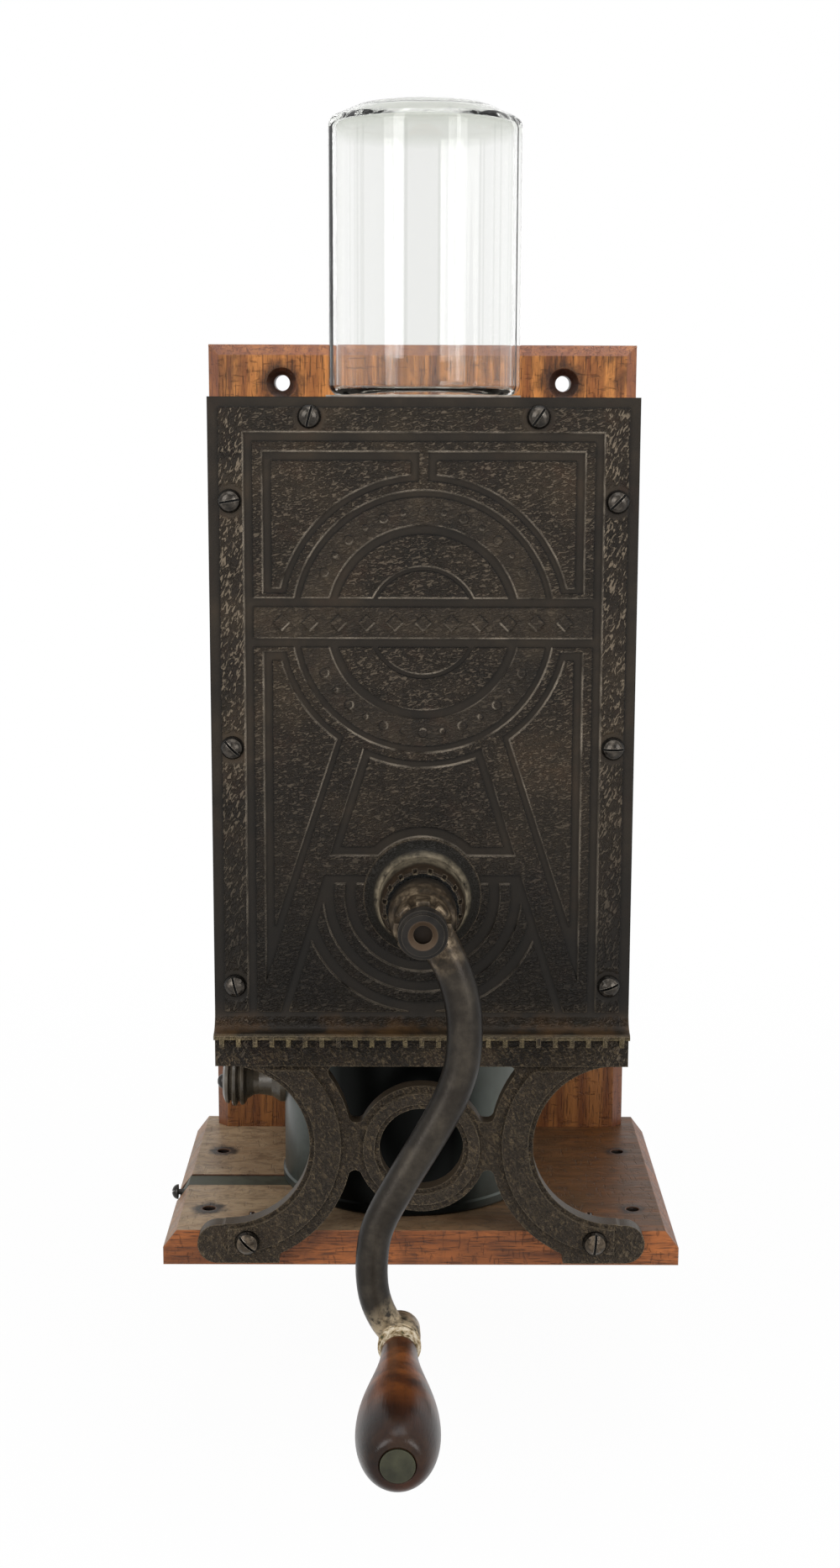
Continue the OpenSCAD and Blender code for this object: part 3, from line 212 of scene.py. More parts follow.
def oak(name, along, pale, dark, seed, finish=None, gloss=0.12):
    """Old oak: broad growth bands, fine pores and short dark flecks, all drawn out along the grain, with
    fine cracks in the varnish across it. finish(f, colour) lays dirt and dust over the wood's colour."""
    f = Finish(name, Specular_IOR_Level=0.3, Coat_Weight=gloss, Coat_Roughness=0.3)
    drawn_out = [0.07 if axis == along else 1.0 for axis in range(3)]
    grain = f.stretched(drawn_out, place=f.vector("ADD", f.place, (seed,) * 3))
    bands = f.waves(30.0, grain, wander=11.0, fine=3.0, axis="X" if along != 0 else "Y")
    streaks = f.noise(210.0, grain, detail=6.0, rough=0.7)
    colour = f.ramp(streaks, (0.32, dark), (0.5, pale), (0.72, scaled(pale, 1.35)))
    colour = f.lay(colour, dark, f.step(bands, 0.3, 0.9), 0.6)
    pores = f.step(f.noise(1300.0, grain, detail=2.0, rough=0.6), 0.55, 0.66)
    colour = f.lay(colour, "#26130a", pores, 0.65)
    stains = f.step(f.noise(26.0, detail=6.0, rough=0.68, wander=0.8), 0.5, 0.68)
    colour = f.lay(colour, "#341b0e", stains, 0.7)
    pressed = [4.5 if axis == along else 1.0 for axis in range(3)]
    cracks = f.step(f.noise(150.0, f.stretched(pressed), detail=3.0, rough=0.6, wander=0.5), 0.6, 0.66)
    colour = f.lay(colour, "#2b160b", cracks, 0.4)
    if finish:
        colour = finish(f, colour)
    colour = f.lay(colour, "#9a6a49", f.edges(0.0016), 0.45)
    height = f.maths("SUBTRACT", f.times(streaks, 0.5), f.maths("ADD", pores, cracks))
    rough = f.mapped(streaks, 0.3, 0.7, 0.4, 0.6)
    return f.out(Base_Color=colour, Roughness=rough, Normal=f.bump(height, 0.0003, 0.9, soften=0.0008))


HANG_HOLES = ((-0.067, 0, 0), (0.067, 0, 0))


def hung_board(f, colour):
    """Bevels of a redder brown, painted shade darkening the foot under the case, a darker left edge, and
    black grime round the hanging holes.
    """
    front = f.normal("Y")
    bevel = f.times(f.step(front, -0.95, -0.8), f.step(front, -0.2, -0.5))
    colour = f.lay(colour, "#7d4530", bevel, 0.65)
    # Painted shade: the board darkens towards its foot, under the case.
    colour = f.lay(colour, "#4d260f", f.step(f.axis("Z"), -0.1, -0.3), 0.68)
    colour = f.lay(colour, "#3a2112", f.step(f.axis("X"), -0.04, -0.09), 0.16)
    return f.lay(colour, "#1b0f09", ring_stain(f, HANG_HOLES, 0.0065, 0.0125), 0.92)


back_oak = oak("back_oak", 2, "#cf8a47", "#7f4722", 0.31, finish=hung_board, gloss=0.25)
dress(back_oak, "back_board")


# Base board
# Oak board under the mill, grain from left to right, with broad bevels on its two ends. Its top
# has faded to a dusty grey-tan, most on the left; its front edge has kept its orange-brown.
BASE_DEPTH = 0.154
BASE_HOLES = [(x, y, 0) for x in (-0.096, 0.096) for y in (-0.128, -0.052)]


def faded_top(f, colour):
    """Pale dust on what faces up, thickest on the left, brown stains on the edges, black painted shade on the
    walls of the spring's slot, and dark oil round the screw holes, more of it on the left."""
    up = f.step(f.normal("Z"), 0.45, 0.8)
    y = f.axis("Y")
    left = f.step(f.axis("X"), 0.085, -0.06)
    patchy = f.step(f.noise(34.0, detail=6.0, rough=0.7), 0.3, 0.7)
    colour = f.lay(colour, "#452c08", up, 0.75)
    colour = f.lay(colour, "#b39a7a", up, f.between(0.02, 1.0, left), f.between(0.5, 1.0, patchy))
    swirl = f.noise(90.0, f.stretched((0.6, 1.0, 1.0)), detail=6.0, rough=0.7, wander=2.2)
    colour = f.lay(colour, "#34200f", up, f.step(swirl, 0.48, 0.6), 0.4)
    edge_stain = f.step(f.noise(45.0, detail=6.0, rough=0.7), 0.48, 0.7)
    colour = f.lay(colour, "#3f2413", f.maths("SUBTRACT", 1.0, up), edge_stain, 0.6)
    # Painted shade: the walls of the spring's slot are laid near black.
    slot_wall_shade = f.step(f.maths("ABSOLUTE", f.normal("Y")), 0.5, 0.8)
    within = f.times(f.past(y, 0.002 - BASE_DEPTH, 0.001), f.past(y, -0.002, -0.001))
    colour = f.lay(colour, "#1a110a", slot_wall_shade, within, 0.9)
    oil_left = ring_stain(f, BASE_HOLES[:2], 0.0052, 0.0088, across=(1, 1, 0))
    oil_right = ring_stain(f, BASE_HOLES[2:], 0.0035, 0.0070, across=(1, 1, 0))
    return f.lay(colour, "#0e0805", f.maths("MAXIMUM", oil_left, oil_right), 0.94)


base_oak = oak("base_oak", 0, "#9c5a2b", "#5e3113", 0.77, finish=faded_top)
dress(base_oak, "base_board")


# Case
# Two sides, a top and a floor of oak, nailed and screwed into a box that is open to the front.
# Only its side and top edges are seen behind the iron plate.
case_oak = oak("case_oak", 2, "#8a5426", "#4c2811", 0.12)
dress(case_oak, "case_left_side", "case_right_side", "case_top", "case_floor")


# Front casting
# Plate, ledge, boss, legs and ring in one iron casting. Its raised fields have a hammered
# stipple, its channels are smooth, and brown dirt sits in the corners of the ledge. Light and shade are
# painted on it as well: sheen on the stipple and highlights and shadows on the relief's edges, brighter
# higher up, shade on the boss, in the hollow over the ledge and towards the foot, and highlights on the
# dentils.
# The front of the channels, of the raised fields and of the dentils, and the tops of the lower parts
FIELD_Y, FACE_Y, DENTIL_Y = -0.1605, -0.1617, -0.1687
PLATE_FOOT_Z, LIP_Z, SKIRT_Z, BRACKET_Z = -0.265, -0.276, -0.280, -0.292
SCREW_PLACES = ((0.047, -0.01508), (0.080, -0.0494), (0.080, -0.1523), (0.080, -0.2554))
SCREW_PATCH_R = 0.0071
SIDE_BAND_X = 0.0744
RING_Z, RING_IN_R, RING_OUT_R = -0.0995, 0.0405, 0.052
CROSSBAR_HALF_H, CROSSBAR_END_X = 0.0065, 0.072
RELIEF_MIDDLE_Z = -0.14
SHAFT_Z, BOSS_R, SOCKET_R = -0.216, 0.0255, 0.0153
# How high the boss's foot is over the channels, and what is left of its length beyond the foot
BOSS_FOOT, BOSS_SQUEEZE = 0.003, 0.64


def off_line(f, x, z):
    """Distance from a line that runs from front to back at x, z."""
    return f.away((x, 0, z), f.vector("MULTIPLY", f.place, (1, 0, 1)))


def facing(f, radius, towards, low, high):
    """How far the normal, rounded over the edges by radius, leans towards a direction."""
    rounded = f.node("Bevel", props={"samples": 6}, Radius=radius)
    return f.step(f.vector("DOT_PRODUCT", rounded, towards, out="Value"), low, high)


def hammer_strokes(f, on_band):
    """Short strokes as noise stretched along them: slanted on the side bands, level in the panels."""
    slanted = f.stretched((1.2, 1.0, 0.42), turn=(0, -24, 0))
    level = f.stretched((0.42, 1.0, 1.15), turn=(0, 12, 0))
    return f.blend(on_band, f.noise(1050.0, level, detail=2.0, rough=0.5, wander=1.2),
                   f.noise(900.0, slanted, detail=2.0, rough=0.5, wander=0.8))


def stipple_share(f):
    """None in the smooth round patches under the screws, and less than half on the bar and the ring, so
    that their lozenges and beads stand out."""
    side, z = f.maths("ABSOLUTE", f.axis("X")), f.axis("Z")
    share = 1.0
    for screw_x, screw_z in SCREW_PLACES:
        away = f.away((screw_x, 0, screw_z), f.node("CombineXYZ", X=side, Z=z))
        share = f.times(share, f.past(away, SCREW_PATCH_R, 0.0007))
    above = f.maths("ABSOLUTE", f.maths("SUBTRACT", z, RING_Z))
    on_bar = f.times(f.past(above, CROSSBAR_HALF_H, -0.0003), f.past(side, CROSSBAR_END_X, -0.0005))
    spread = off_line(f, 0, RING_Z)
    on_ring = f.times(f.past(spread, RING_IN_R, 0.0004), f.past(spread, RING_OUT_R, -0.0004))
    return f.times(share, f.between(1.0, 0.45, f.maths("MAXIMUM", on_bar, on_ring)))


def rubbed_bracket(f, colour, flat_front):
    """Browner iron on the bracket, and curled strokes on it and on the skirt. Returns the colour and the
    strokes' height."""
    z = f.axis("Z")
    colour = f.lay(colour, "#463c30", f.past(z, BRACKET_Z, -0.002), 0.5)
    curls = f.noise(640.0, f.stretched((1.0, 1.0, 0.5), turn=(0, 30, 0)), detail=3.0, rough=0.6, wander=1.4)
    on_legs = f.times(f.past(z, SKIRT_Z, -0.001), flat_front, f.step(f.axis("Y"), FIELD_Y, FIELD_Y - 0.001))
    colour = f.lay(colour, "#655640", on_legs, f.step(curls, 0.52, 0.64), 0.55)
    colour = f.lay(colour, "#17130e", on_legs, f.step(curls, 0.46, 0.38), 0.6)
    return colour, f.times(on_legs, f.step(curls, 0.4, 0.6), 1.1)


def cove_shade_and_dust(f, colour):
    """Painted shade, near black, in the hollow over the ledge, with a little brown dust."""
    z = f.axis("Z")
    cove = f.times(f.step(z, PLATE_FOOT_Z - 0.001, PLATE_FOOT_Z - 0.0075), f.past(z, LIP_Z, 0.0005))
    # Painted shade: the hollow over the ledge is laid near black.
    colour = f.lay(colour, "#15110c", cove, 0.75)
    return f.lay(colour, "#64482a", cove, f.step(f.noise(44.0, detail=5.0, rough=0.65), 0.46, 0.66), 0.4)


def boss_grease_and_shade(f, colour, flat_front):
    """A black foot, painted shade darker on what faces up, a shoulder worn grey in mottled patches that also
    stands as a painted highlight, least on top, brown grease by the crank, paler dirt in the notches and a
    socket painted black as shade."""
    y, upward = f.axis("Y"), f.normal("Z")
    spread = off_line(f, 0, SHAFT_Z)
    on_boss = f.times(f.step(spread, BOSS_R, BOSS_R - 0.0005), f.step(y, FACE_Y - 0.0005, FACE_Y - 0.0009))
    in_socket = f.past(spread, SOCKET_R, -0.0001)
    mottle = f.noise(210.0, detail=5.0, rough=0.7)
    colour = f.lay(colour, "#1a1813", on_boss, 0.8)
    # Painted shade: the boss is darker where it faces up.
    colour = f.lay(colour, "#0d0b08", on_boss, f.step(upward, 0.1, 0.7), 0.6)
    shoulder = f.times(f.step(y, -0.1655, -0.168), f.step(y, -0.181, -0.1755))
    # Painted highlight on the shoulder, mottled like wear, dimmer where it faces up.
    rubbed = f.times(on_boss, shoulder, f.step(mottle, 0.32, 0.62), f.mapped(upward, 0.2, 0.85, 1.0, 0.6))
    colour = f.lay(colour, "#948872", rubbed, 0.9)
    colour = f.lay(colour, "#2e2318", on_boss, f.step(y, -0.1775, -0.1815), f.step(mottle, 0.8, 0.3))
    colour = f.lay(colour, "#847763", f.step(y, -0.1825, -0.183), in_socket, on_boss, 0.8)
    # Painted shade: the socket's deep flat faces are laid black.
    return f.lay(colour, "#030302", in_socket, f.step(y, -0.186, -0.1863), flat_front)


def relief_light_shade_and_wear(f, colour, high):
    """Painted highlights in patches on the edges of the relief that face the plate's middle, dimmer where
    high, the painted light from above, is low; painted shadow on those that face away; and on the casting's
    other edges pale wear that also stands as painted highlights."""
    z = f.axis("Z")
    to_middle = f.node("CombineXYZ", X=f.times(f.axis("X"), -1.0), Z=f.maths("SUBTRACT", RELIEF_MIDDLE_Z, z))
    inward = f.vector("NORMALIZE", to_middle)
    patchy = f.step(f.noise(60.0, detail=4.0, rough=0.6), 0.32, 0.66)
    off_boss = f.step(off_line(f, 0, SHAFT_Z), BOSS_R - 0.0003, BOSS_R + 0.0001)
    on_plate = f.times(f.past(z, PLATE_FOOT_Z, 0.003), off_boss)
    # Painted shadow on the edges that face away from the plate's middle.
    colour = f.lay(colour, "#0c0a07", facing(f, 0.0009, inward, -0.06, -0.4), on_plate, 0.78)
    # Painted highlight on the edges that face the plate's middle, in patches, dimmer lower down.
    bright = f.times(patchy, f.mapped(high, 0.62, 0.85, 0.45, 1.0))
    colour = f.lay(colour, "#a09484", facing(f, 0.0009, inward, 0.08, 0.36), on_plate, bright)
    elsewhere = f.between(1.0, 0.0, f.times(on_plate, f.step(f.axis("Y"), -0.166, -0.164)))
    share = f.maths("ADD", f.between(0.2, 0.4, f.past(z, BRACKET_Z, -0.002)), f.times(patchy, 0.5))
    # Pale wear on the casting's other edges, which also stands as painted highlights along them.
    return f.lay(colour, "#8b7c66", f.edges(0.0006, 0.01, 0.12), elsewhere, share)


def dentil_highlights(f, colour):
    """Painted highlight in pale tan flecks on the dentils, and less of it along the lip over them."""
    z = f.axis("Z")
    proud = f.past(f.axis("Y"), DENTIL_Y, -0.0001)
    row = f.times(f.past(z, BRACKET_Z, 0.001), f.step(z, -0.27, -0.273))
    fleck = f.step(f.noise(130.0, detail=4.0, rough=0.7), 0.36, 0.6)
    less = f.mapped(f.past(z, LIP_Z - 0.0003, 0.0005), 0.0, 1.0, 0.62, 0.2)
    # Painted highlight on the dentils' fronts and on the lip.
    return f.lay(colour, "#807150", proud, row, fleck, less)


def hammered_iron():
    """Olive-brown patina, redder in patches, darker in the channels, with painted shade towards the foot,
    painted sheen on the stipple's crests, brighter higher up, and dark pits in the stipple; the functions
    above lay the rest over it."""
    f = Finish("hammered_iron", Metallic=0.1, Specular_IOR_Level=0.2)
    y, z = f.axis("Y"), f.axis("Z")
    raised = f.step(y, FIELD_Y - 0.0003, FACE_Y + 0.0003)
    flat_front = f.step(f.normal("Y"), -0.6, -0.9)
    on_band = f.past(f.maths("ABSOLUTE", f.axis("X")), SIDE_BAND_X, 0.0002)
    strokes = hammer_strokes(f, on_band)
    stippled = f.times(raised, flat_front, stipple_share(f))
    patina = f.noise(24.0, detail=6.0, rough=0.66, wander=0.5)
    colour = f.ramp(patina, (0.3, "#1c1813"), (0.48, "#2c251d"), (0.6, "#393025"), (0.78, "#4e3e2f"))
    colour = f.lay(colour, "#3f2a1f", f.step(f.noise(70.0, detail=5.0, rough=0.7), 0.55, 0.75), 0.35)
    sunk = f.times(f.maths("SUBTRACT", 1.0, raised), f.step(y, FIELD_Y + 0.001, FIELD_Y + 0.0002))
    colour = f.lay(colour, "#1b1712", sunk, 0.5)
    # Painted light from above: the crests' sheen and the relief's edge highlights grow brighter towards the
    # top.
    high = f.mapped(z, -0.25, -0.06, 0.62, 1.0)
    # Painted sheen: light crests on the stipple.
    crest_sheen = f.times(f.step(strokes, 0.54, 0.64), stippled, high)
    colour = f.lay(colour, "#7d705f", crest_sheen, f.between(0.31, 0.65, on_band))
    colour = f.lay(colour, "#110e0a", f.step(strokes, 0.44, 0.36), stippled, 0.55)
    # Painted shade: the plate grows darker towards its foot.
    low = f.times(f.mapped(z, -0.15, -0.24, 0.0, 0.72), f.step(z, PLATE_FOOT_Z - 0.007, PLATE_FOOT_Z + 0.003))
    colour = f.lay(colour, "#12100d", low)
    grain = f.times(f.noise(1800.0, detail=3.0, rough=0.6), 0.2)
    height = f.maths("ADD", f.times(f.step(strokes, 0.42, 0.58), stippled, 1.3), grain)
    colour, curl_height = rubbed_bracket(f, colour, flat_front)
    height = f.maths("ADD", height, curl_height)
    colour = cove_shade_and_dust(f, colour)
    colour = boss_grease_and_shade(f, colour, flat_front)
    colour = relief_light_shade_and_wear(f, colour, high)
    colour = dentil_highlights(f, colour)
    rough = f.mapped(patina, 0.3, 0.7, 0.36, 0.52)
    return f.out(Base_Color=colour, Roughness=rough, Normal=f.bump(height, 0.0006, 1.0, soften=0.0007))


def piece(name, mesh, material, body, slot, *nodes):
    """Puts a finished mesh in the scene on its body, in place of the named CAD nodes."""
    made = bpy.data.objects.new(name, mesh)
    bpy.context.scene.collection.objects.link(made)
    mesh.materials.append(material)
    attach(made, body)
    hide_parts(*nodes)


def shorter_boss(source):
    """A merged copy of the casting's mesh whose boss stands out by less: beyond its foot, each point's
    distance from the plate is the foot's height plus BOSS_SQUEEZE times what it was over the foot."""
    shape = bmesh.new()
    shape.from_mesh(source)
    bmesh.ops.remove_doubles(shape, verts=shape.verts, dist=1e-6)
    mesh = bpy.data.meshes.new("front_iron")
    shape.to_mesh(mesh)
    shape.free()
    if "custom_normal" in mesh.attributes:
        mesh.attributes.remove(mesh.attributes["custom_normal"])
    points = np.empty(len(mesh.vertices) * 3)
    mesh.vertices.foreach_get("co", points)
    x, y, z = points.reshape(-1, 3).T
    moved = (np.hypot(x, z - SHAFT_Z) < BOSS_R) & (FIELD_Y - y > BOSS_FOOT)
    y[moved] = (y[moved] - FIELD_Y + BOSS_FOOT) * BOSS_SQUEEZE + FIELD_Y - BOSS_FOOT
    mesh.vertices.foreach_set("co", points)
    mesh.polygons.foreach_set("use_smooth", np.ones(len(mesh.polygons), bool))
    mesh.set_sharp_from_angle(angle=math.radians(28))
    return mesh


front_mesh = shorter_boss(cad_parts["front_casting"].data)
piece("front_iron", front_mesh, hammered_iron(), "frame", "front_iron", "front_casting")


# Screws
# Turned round-head wood screws of dark steel, polished a little by handling, and the smaller
# countersunk screws and nails that hold the case and the works together.
def dark_steel(name, tint, metal=0.75, rough=0.36, gloss=0.3):
    """Metal clouded from 0.55 to 1.5 times its tint, and half way to 2.6 times it on worn edges."""
    f = Finish(name, Metallic=metal, Specular_IOR_Level=gloss)
    cloud = f.noise(140.0, detail=4.0, rough=0.6)
    colour = f.ramp(cloud, (0.3, scaled(tint, 0.55)), (0.55, tint), (0.8, scaled(tint, 1.5)))
    colour = f.lay(colour, scaled(tint, 2.6), f.edges(0.0006), 0.5)
    shine = f.mapped(cloud, 0.3, 0.7, rough - 0.08, rough + 0.12)
    grain = f.noise(900.0, detail=3.0)
    return f.out(Base_Color=colour, Roughness=shine, Normal=f.bump(grain, 0.0001, 0.6, soften=0.0004))


def round_heads(name, top, foot):
    """Domed heads, bright on top, with painted shade in the foot colour on the faces that turn away from the
    front, round the foot and on the slot's walls, and black painted shade on the slot's flat floor, where the
    normal points straight to the front."""
    f = Finish(name, Metallic=0.7)
    front = f.normal("Y")
    cloud = f.noise(420.0, detail=4.0, rough=0.6)
    colour = f.ramp(cloud, (0.3, scaled(top, 0.3)), (0.5, scaled(top, 0.85)), (0.7, scaled(top, 2.0)))
    # Painted shade: faces that turn away from the front, at the head's foot and on the slot's walls, take the
    # foot colour.
    colour = f.lay(colour, foot, f.step(front, -0.8, -0.45))
    colour = f.lay(colour, "#b3aa9c", f.edges(0.0004), 0.5)
    # Painted shade: the slot's flat floor is laid near black.
    colour = f.lay(colour, "#070605", f.step(front, -0.9996, -0.9999))
    grain = f.noise(900.0, detail=3.0)
    return f.out(Base_Color=colour, Roughness=f.step(cloud, 0.1, 1.6), Normal=f.bump(grain, 0.0001, 0.6))


# The second colour given to round_heads is the painted shade round the heads' foot and in their slots.
dress(round_heads("face_screw_steel", "#3c3731", "#100e0c"), "plate_screws")
screw_steel = dark_steel("screw_steel", "#2e2b29", metal=0.6, rough=0.3)
dress(screw_steel, "spring_screw", "shell_screws", "bridge_screws", "funnel_screws", "collar_screws",
      "back_screws", "base_screws", "top_screws", "floor_nails", "knob_screw", "knob_nut")
# Its second colour is painted shade, as above.
dress(round_heads("foot_screw_iron", "#4a4034", "#14110d"), "foot_screws")


# Bearings and works
# Brass bush and steel washer on the shaft, and the grinding works of rough cast iron and tinned
# sheet that stand inside the case: funnel, shell, burrs, feed worm, bridge and chute.
dress(dark_steel("bearing_brass", "#8a6a34", metal=0.9, rough=0.35), "shaft_bush")
dress(dark_steel("washer_steel", "#3a3733", rough=0.45), "thrust_washer")
burr_iron = dark_steel("burr_iron", "#4b4742", metal=0.6, rough=0.5)
dress(burr_iron, "burr_shell", "ring_burr", "rear_bridge", "cone_burr", "feed_worm")
dress(dark_steel("tinned_sheet", "#777b79", metal=0.8, rough=0.42), "hopper_funnel", "grounds_chute")
# Painted light: the collar is paler than tin, standing in for the light that the glass jar keeps off it.
dress(dark_steel("collar_tin_painted_light", "#a8a197", metal=0.3, rough=0.5), "jar_collar")
dress(dark_steel("shaft_steel", "#2b221a", metal=0.5, rough=0.5), "grinder_shaft", "crank_key", "burr_pin")


# Jar
# Pressed clear glass jar with twelve flat panels, upside down, its plain neck in the collar.
# The panels run into a rounded shoulder, and the base on top has a low rim round a hollow.
JAR_Y, JAR_TOP, JAR_SEAT, JAR_MOUTH = -0.091, 0.117, -0.006, -0.021
PANELS, PANEL_TURN = 12, math.radians(4.0)
PANEL = 2 * math.pi / PANELS


def shell_mesh(name, points, caps=False):
    """Closed surface from a grid of points (rows, columns, 3) whose columns run right round. The rows
    close on themselves, or with caps end in the first and last row's middle points. Its faces point
    outwards: where the volume, the sum of a . (b x c) / 6 over its triangles, is negative, they turn."""
    rows, columns = points.shape[:2]
    flat = points.reshape(-1, 3)
    i = np.arange(rows - 1 if caps else rows)[:, None]
    j = np.arange(columns)[None, :]
    here, ahead = i * columns, (i + 1) % rows * columns
    beside = (j + 1) % columns
    quads = np.stack([here + j, here + beside, ahead + beside, ahead + j], -1).reshape(-1, 4)
    fans = np.empty((0, 3), int)
    if caps:
        flat = np.vstack([flat, points[0].mean(0), points[-1].mean(0)])
        turn, beside = j[0], beside[0]
        middle, last = rows * columns, (rows - 1) * columns
        first_fan = np.stack([np.full(columns, middle), beside, turn], -1)
        last_fan = np.stack([np.full(columns, middle + 1), last + turn, last + beside], -1)
        fans = np.vstack([first_fan, last_fan])
    a, b, c = flat[np.vstack([quads[:, :3], quads[:, [0, 2, 3]], fans]).T]
    if (a * np.cross(b, c)).sum() < 0:
        quads, fans = quads[:, ::-1], fans[:, ::-1]
    mesh = bpy.data.meshes.new(name)
    mesh.from_pydata(flat.tolist(), [], quads.tolist() + fans.tolist())
    mesh.polygons.foreach_set("use_smooth", np.ones(len(mesh.polygons), bool))
    mesh.update()
    return mesh


def arc(middle, radius, start, stop, count):
    """Points (r, z) on an arc about middle, from angle start to stop in degrees."""
    a = np.radians(np.linspace(start, stop, count))
    return np.stack([middle[0] + radius * np.cos(a), middle[1] + radius * np.sin(a)], -1)


def jar_surface():
    """Radius round the jar is flat / cos(angle from the panel's middle), cut off softly at the corners by
    the soft minimum -log(exp(-s a) + exp(-s b)) / s of it and the corner's radius; it passes into a circle
    at the neck and on top. The inside is round, a wall's thickness in: its arcs have the outer ones'
    middles."""
    flat, corner, wall, neck, lip = 0.0417, 0.0429, 0.0028, 0.031, 0.0006
    heel, shoulder, crown = 0.0045, 0.0050, 0.0140
    heel_at, shoulder_at = (flat - heel, JAR_SEAT + heel), (flat - shoulder, JAR_TOP - 0.0098)
    crown_at = (flat - 0.01693, JAR_TOP - crown)
    side_foot, side_top = JAR_SEAT + 0.007, JAR_TOP - 0.0108
    outer = np.vstack([
        [(neck - lip, JAR_MOUTH), (neck, JAR_MOUTH + lip), (neck, JAR_SEAT - 0.0008), (neck + lip, JAR_SEAT)],
        [(flat - 0.0050, JAR_SEAT)],
        arc(heel_at, heel, -80, 0, 9),
        np.stack([np.full(14, flat), np.linspace(side_foot, side_top, 14)], -1),
        arc(shoulder_at, shoulder, 0, 64, 12),
        arc(crown_at, crown, 64, 89, 10),
        [(0.014, JAR_TOP - 0.0002), (0.004, JAR_TOP - 0.0002)],
    ])
    inner = np.vstack([
        [(0.004, JAR_TOP - 0.0030), (0.014, JAR_TOP - 0.0030)],
        arc(crown_at, crown - wall, 89, 64, 10),
        arc(shoulder_at, shoulder - wall, 64, 0, 12),
        np.stack([np.full(8, flat - wall), np.linspace(side_top, side_foot, 8)], -1),
        arc(heel_at, heel - wall, 0, -78, 8),
        [(neck - 0.0022, JAR_SEAT + 0.0022), (neck - wall, JAR_SEAT)],
        [(neck - wall, JAR_MOUTH + lip), (neck - wall + lip, JAR_MOUTH)],
    ])
    profile = np.vstack([outer[::-1], inner[::-1]])
    full_panel = flat - 0.0022
    panelled = np.clip((profile[:, 0] - neck) / (full_panel - neck), 0, 1)
    panelled[len(outer):] = 0
    angle = np.linspace(0, 2 * np.pi, 192, endpoint=False)
    bend = (angle - PANEL_TURN + PANEL / 2) % PANEL - PANEL / 2
    sharpness = 5000.0
    sides = -np.log(np.exp(-sharpness * flat / np.cos(bend)) + np.exp(-sharpness * corner)) / sharpness
    radius = profile[:, :1] * (1 + panelled[:, None] * (sides / flat - 1))
    return np.stack([radius * np.cos(angle), JAR_Y + radius * np.sin(angle),
                     np.broadcast_to(profile[:, 1:], radius.shape)], -1)


def clear_glass():
    """Clear glass, a little greyer where it is seen from the side and in the thick base, with grey painted
    refraction lines along the panels' corners. The turn round the jar, counted in panels from half a panel
    before the first one's middle, is whole at the corners."""
    f = Finish("clear_glass", Roughness=0.01, IOR=1.09, Transmission_Weight=1.0, Coat_Weight=0.6,
               Coat_Roughness=0.02)
    z = f.axis("Z")
    tint = f.ramp(f.node("LayerWeight", out="Facing", Blend=0.32), (0.0, (0.915, 0.918, 0.908)),
                  (0.3, (0.97, 0.973, 0.965)), (0.6, (0.93, 0.94, 0.92)), (1.0, (0.84, 0.85, 0.82)))
    turn = f.maths("ARCTAN2", f.maths("SUBTRACT", f.axis("Y"), JAR_Y), f.axis("X"))
    turns = f.maths("DIVIDE", f.maths("SUBTRACT", turn, PANEL_TURN), PANEL)
    from_middle = f.maths("SUBTRACT", f.maths("FRACT", f.maths("ADD", turns, 20.5)), 0.5)
    corner = f.step(f.maths("ABSOLUTE", from_middle), 0.455, 0.49)
    # Painted refraction: grey lines along the panels' corners.
    tint = f.lay(tint, (0.79, 0.8, 0.78), corner, f.step(z, JAR_TOP - 0.005, JAR_TOP - 0.011))
    tint = f.lay(tint, (0.76, 0.775, 0.735), f.step(z, JAR_TOP - 0.014, JAR_TOP - 0.009))
    ripple = f.noise(55.0, f.stretched((1.0, 1.0, 0.35)), detail=1.0)
    return f.out(Base_Color=tint, Normal=f.bump(ripple, 0.0006, 0.2))


jar_mesh = shell_mesh("glass_jar", jar_surface(), caps=True)
piece("glass_jar", jar_mesh, clear_glass(), "jar", "jar_glass", "jar")


# Crank
# One iron forging: a hub with a notched front rim, a round bar bent in an S, and an eye at its
# end. Handling has left it a dark satin grey, with brown on the hub.
HUB_Y, ARM_Y = -0.2025, -0.2115
EYE = np.array([-0.009, -0.2235, -0.387])
EYE_HALF = 0.007
BAR_THICK_R, BAR_THIN_R = 0.00775, 0.00625


def spun(profile, middle, shape=None, columns=64):
    """Surface of a profile (radius, distance towards the viewer) turned about a line along -Y through
    middle. shape(radius, angle, profile) returns the radii of a form that is not round."""
    profile = np.asarray(profile, float)
    angle = np.linspace(0, 2 * np.pi, columns, endpoint=False)
    radius = np.repeat(profile[:, :1], columns, 1)
    if shape is not None:
        radius = shape(radius, angle, profile)
    depth = np.broadcast_to(profile[:, 1:], radius.shape)
    right, down = radius * np.cos(angle), radius * np.sin(angle)
    return np.stack([middle[0] + right, middle[1] - depth, middle[2] - down], -1)


def notched(count, share, depth, first, last):
    """A shape for spun: it cuts count notches, each of the given share of its turn and with short slopes
    at its sides, into the rows between the depths first and last."""
    def shape(radius, angle, profile):
        beat = (angle / (2 * np.pi) * count) % 1.0
        cut = np.clip((share / 2 - np.abs(beat - 0.5)) / 0.04 + 0.5, 0, 1)
        rows = (profile[:, 1:] >= first) & (profile[:, 1:] <= last)
        return radius - depth * cut * rows
    return shape


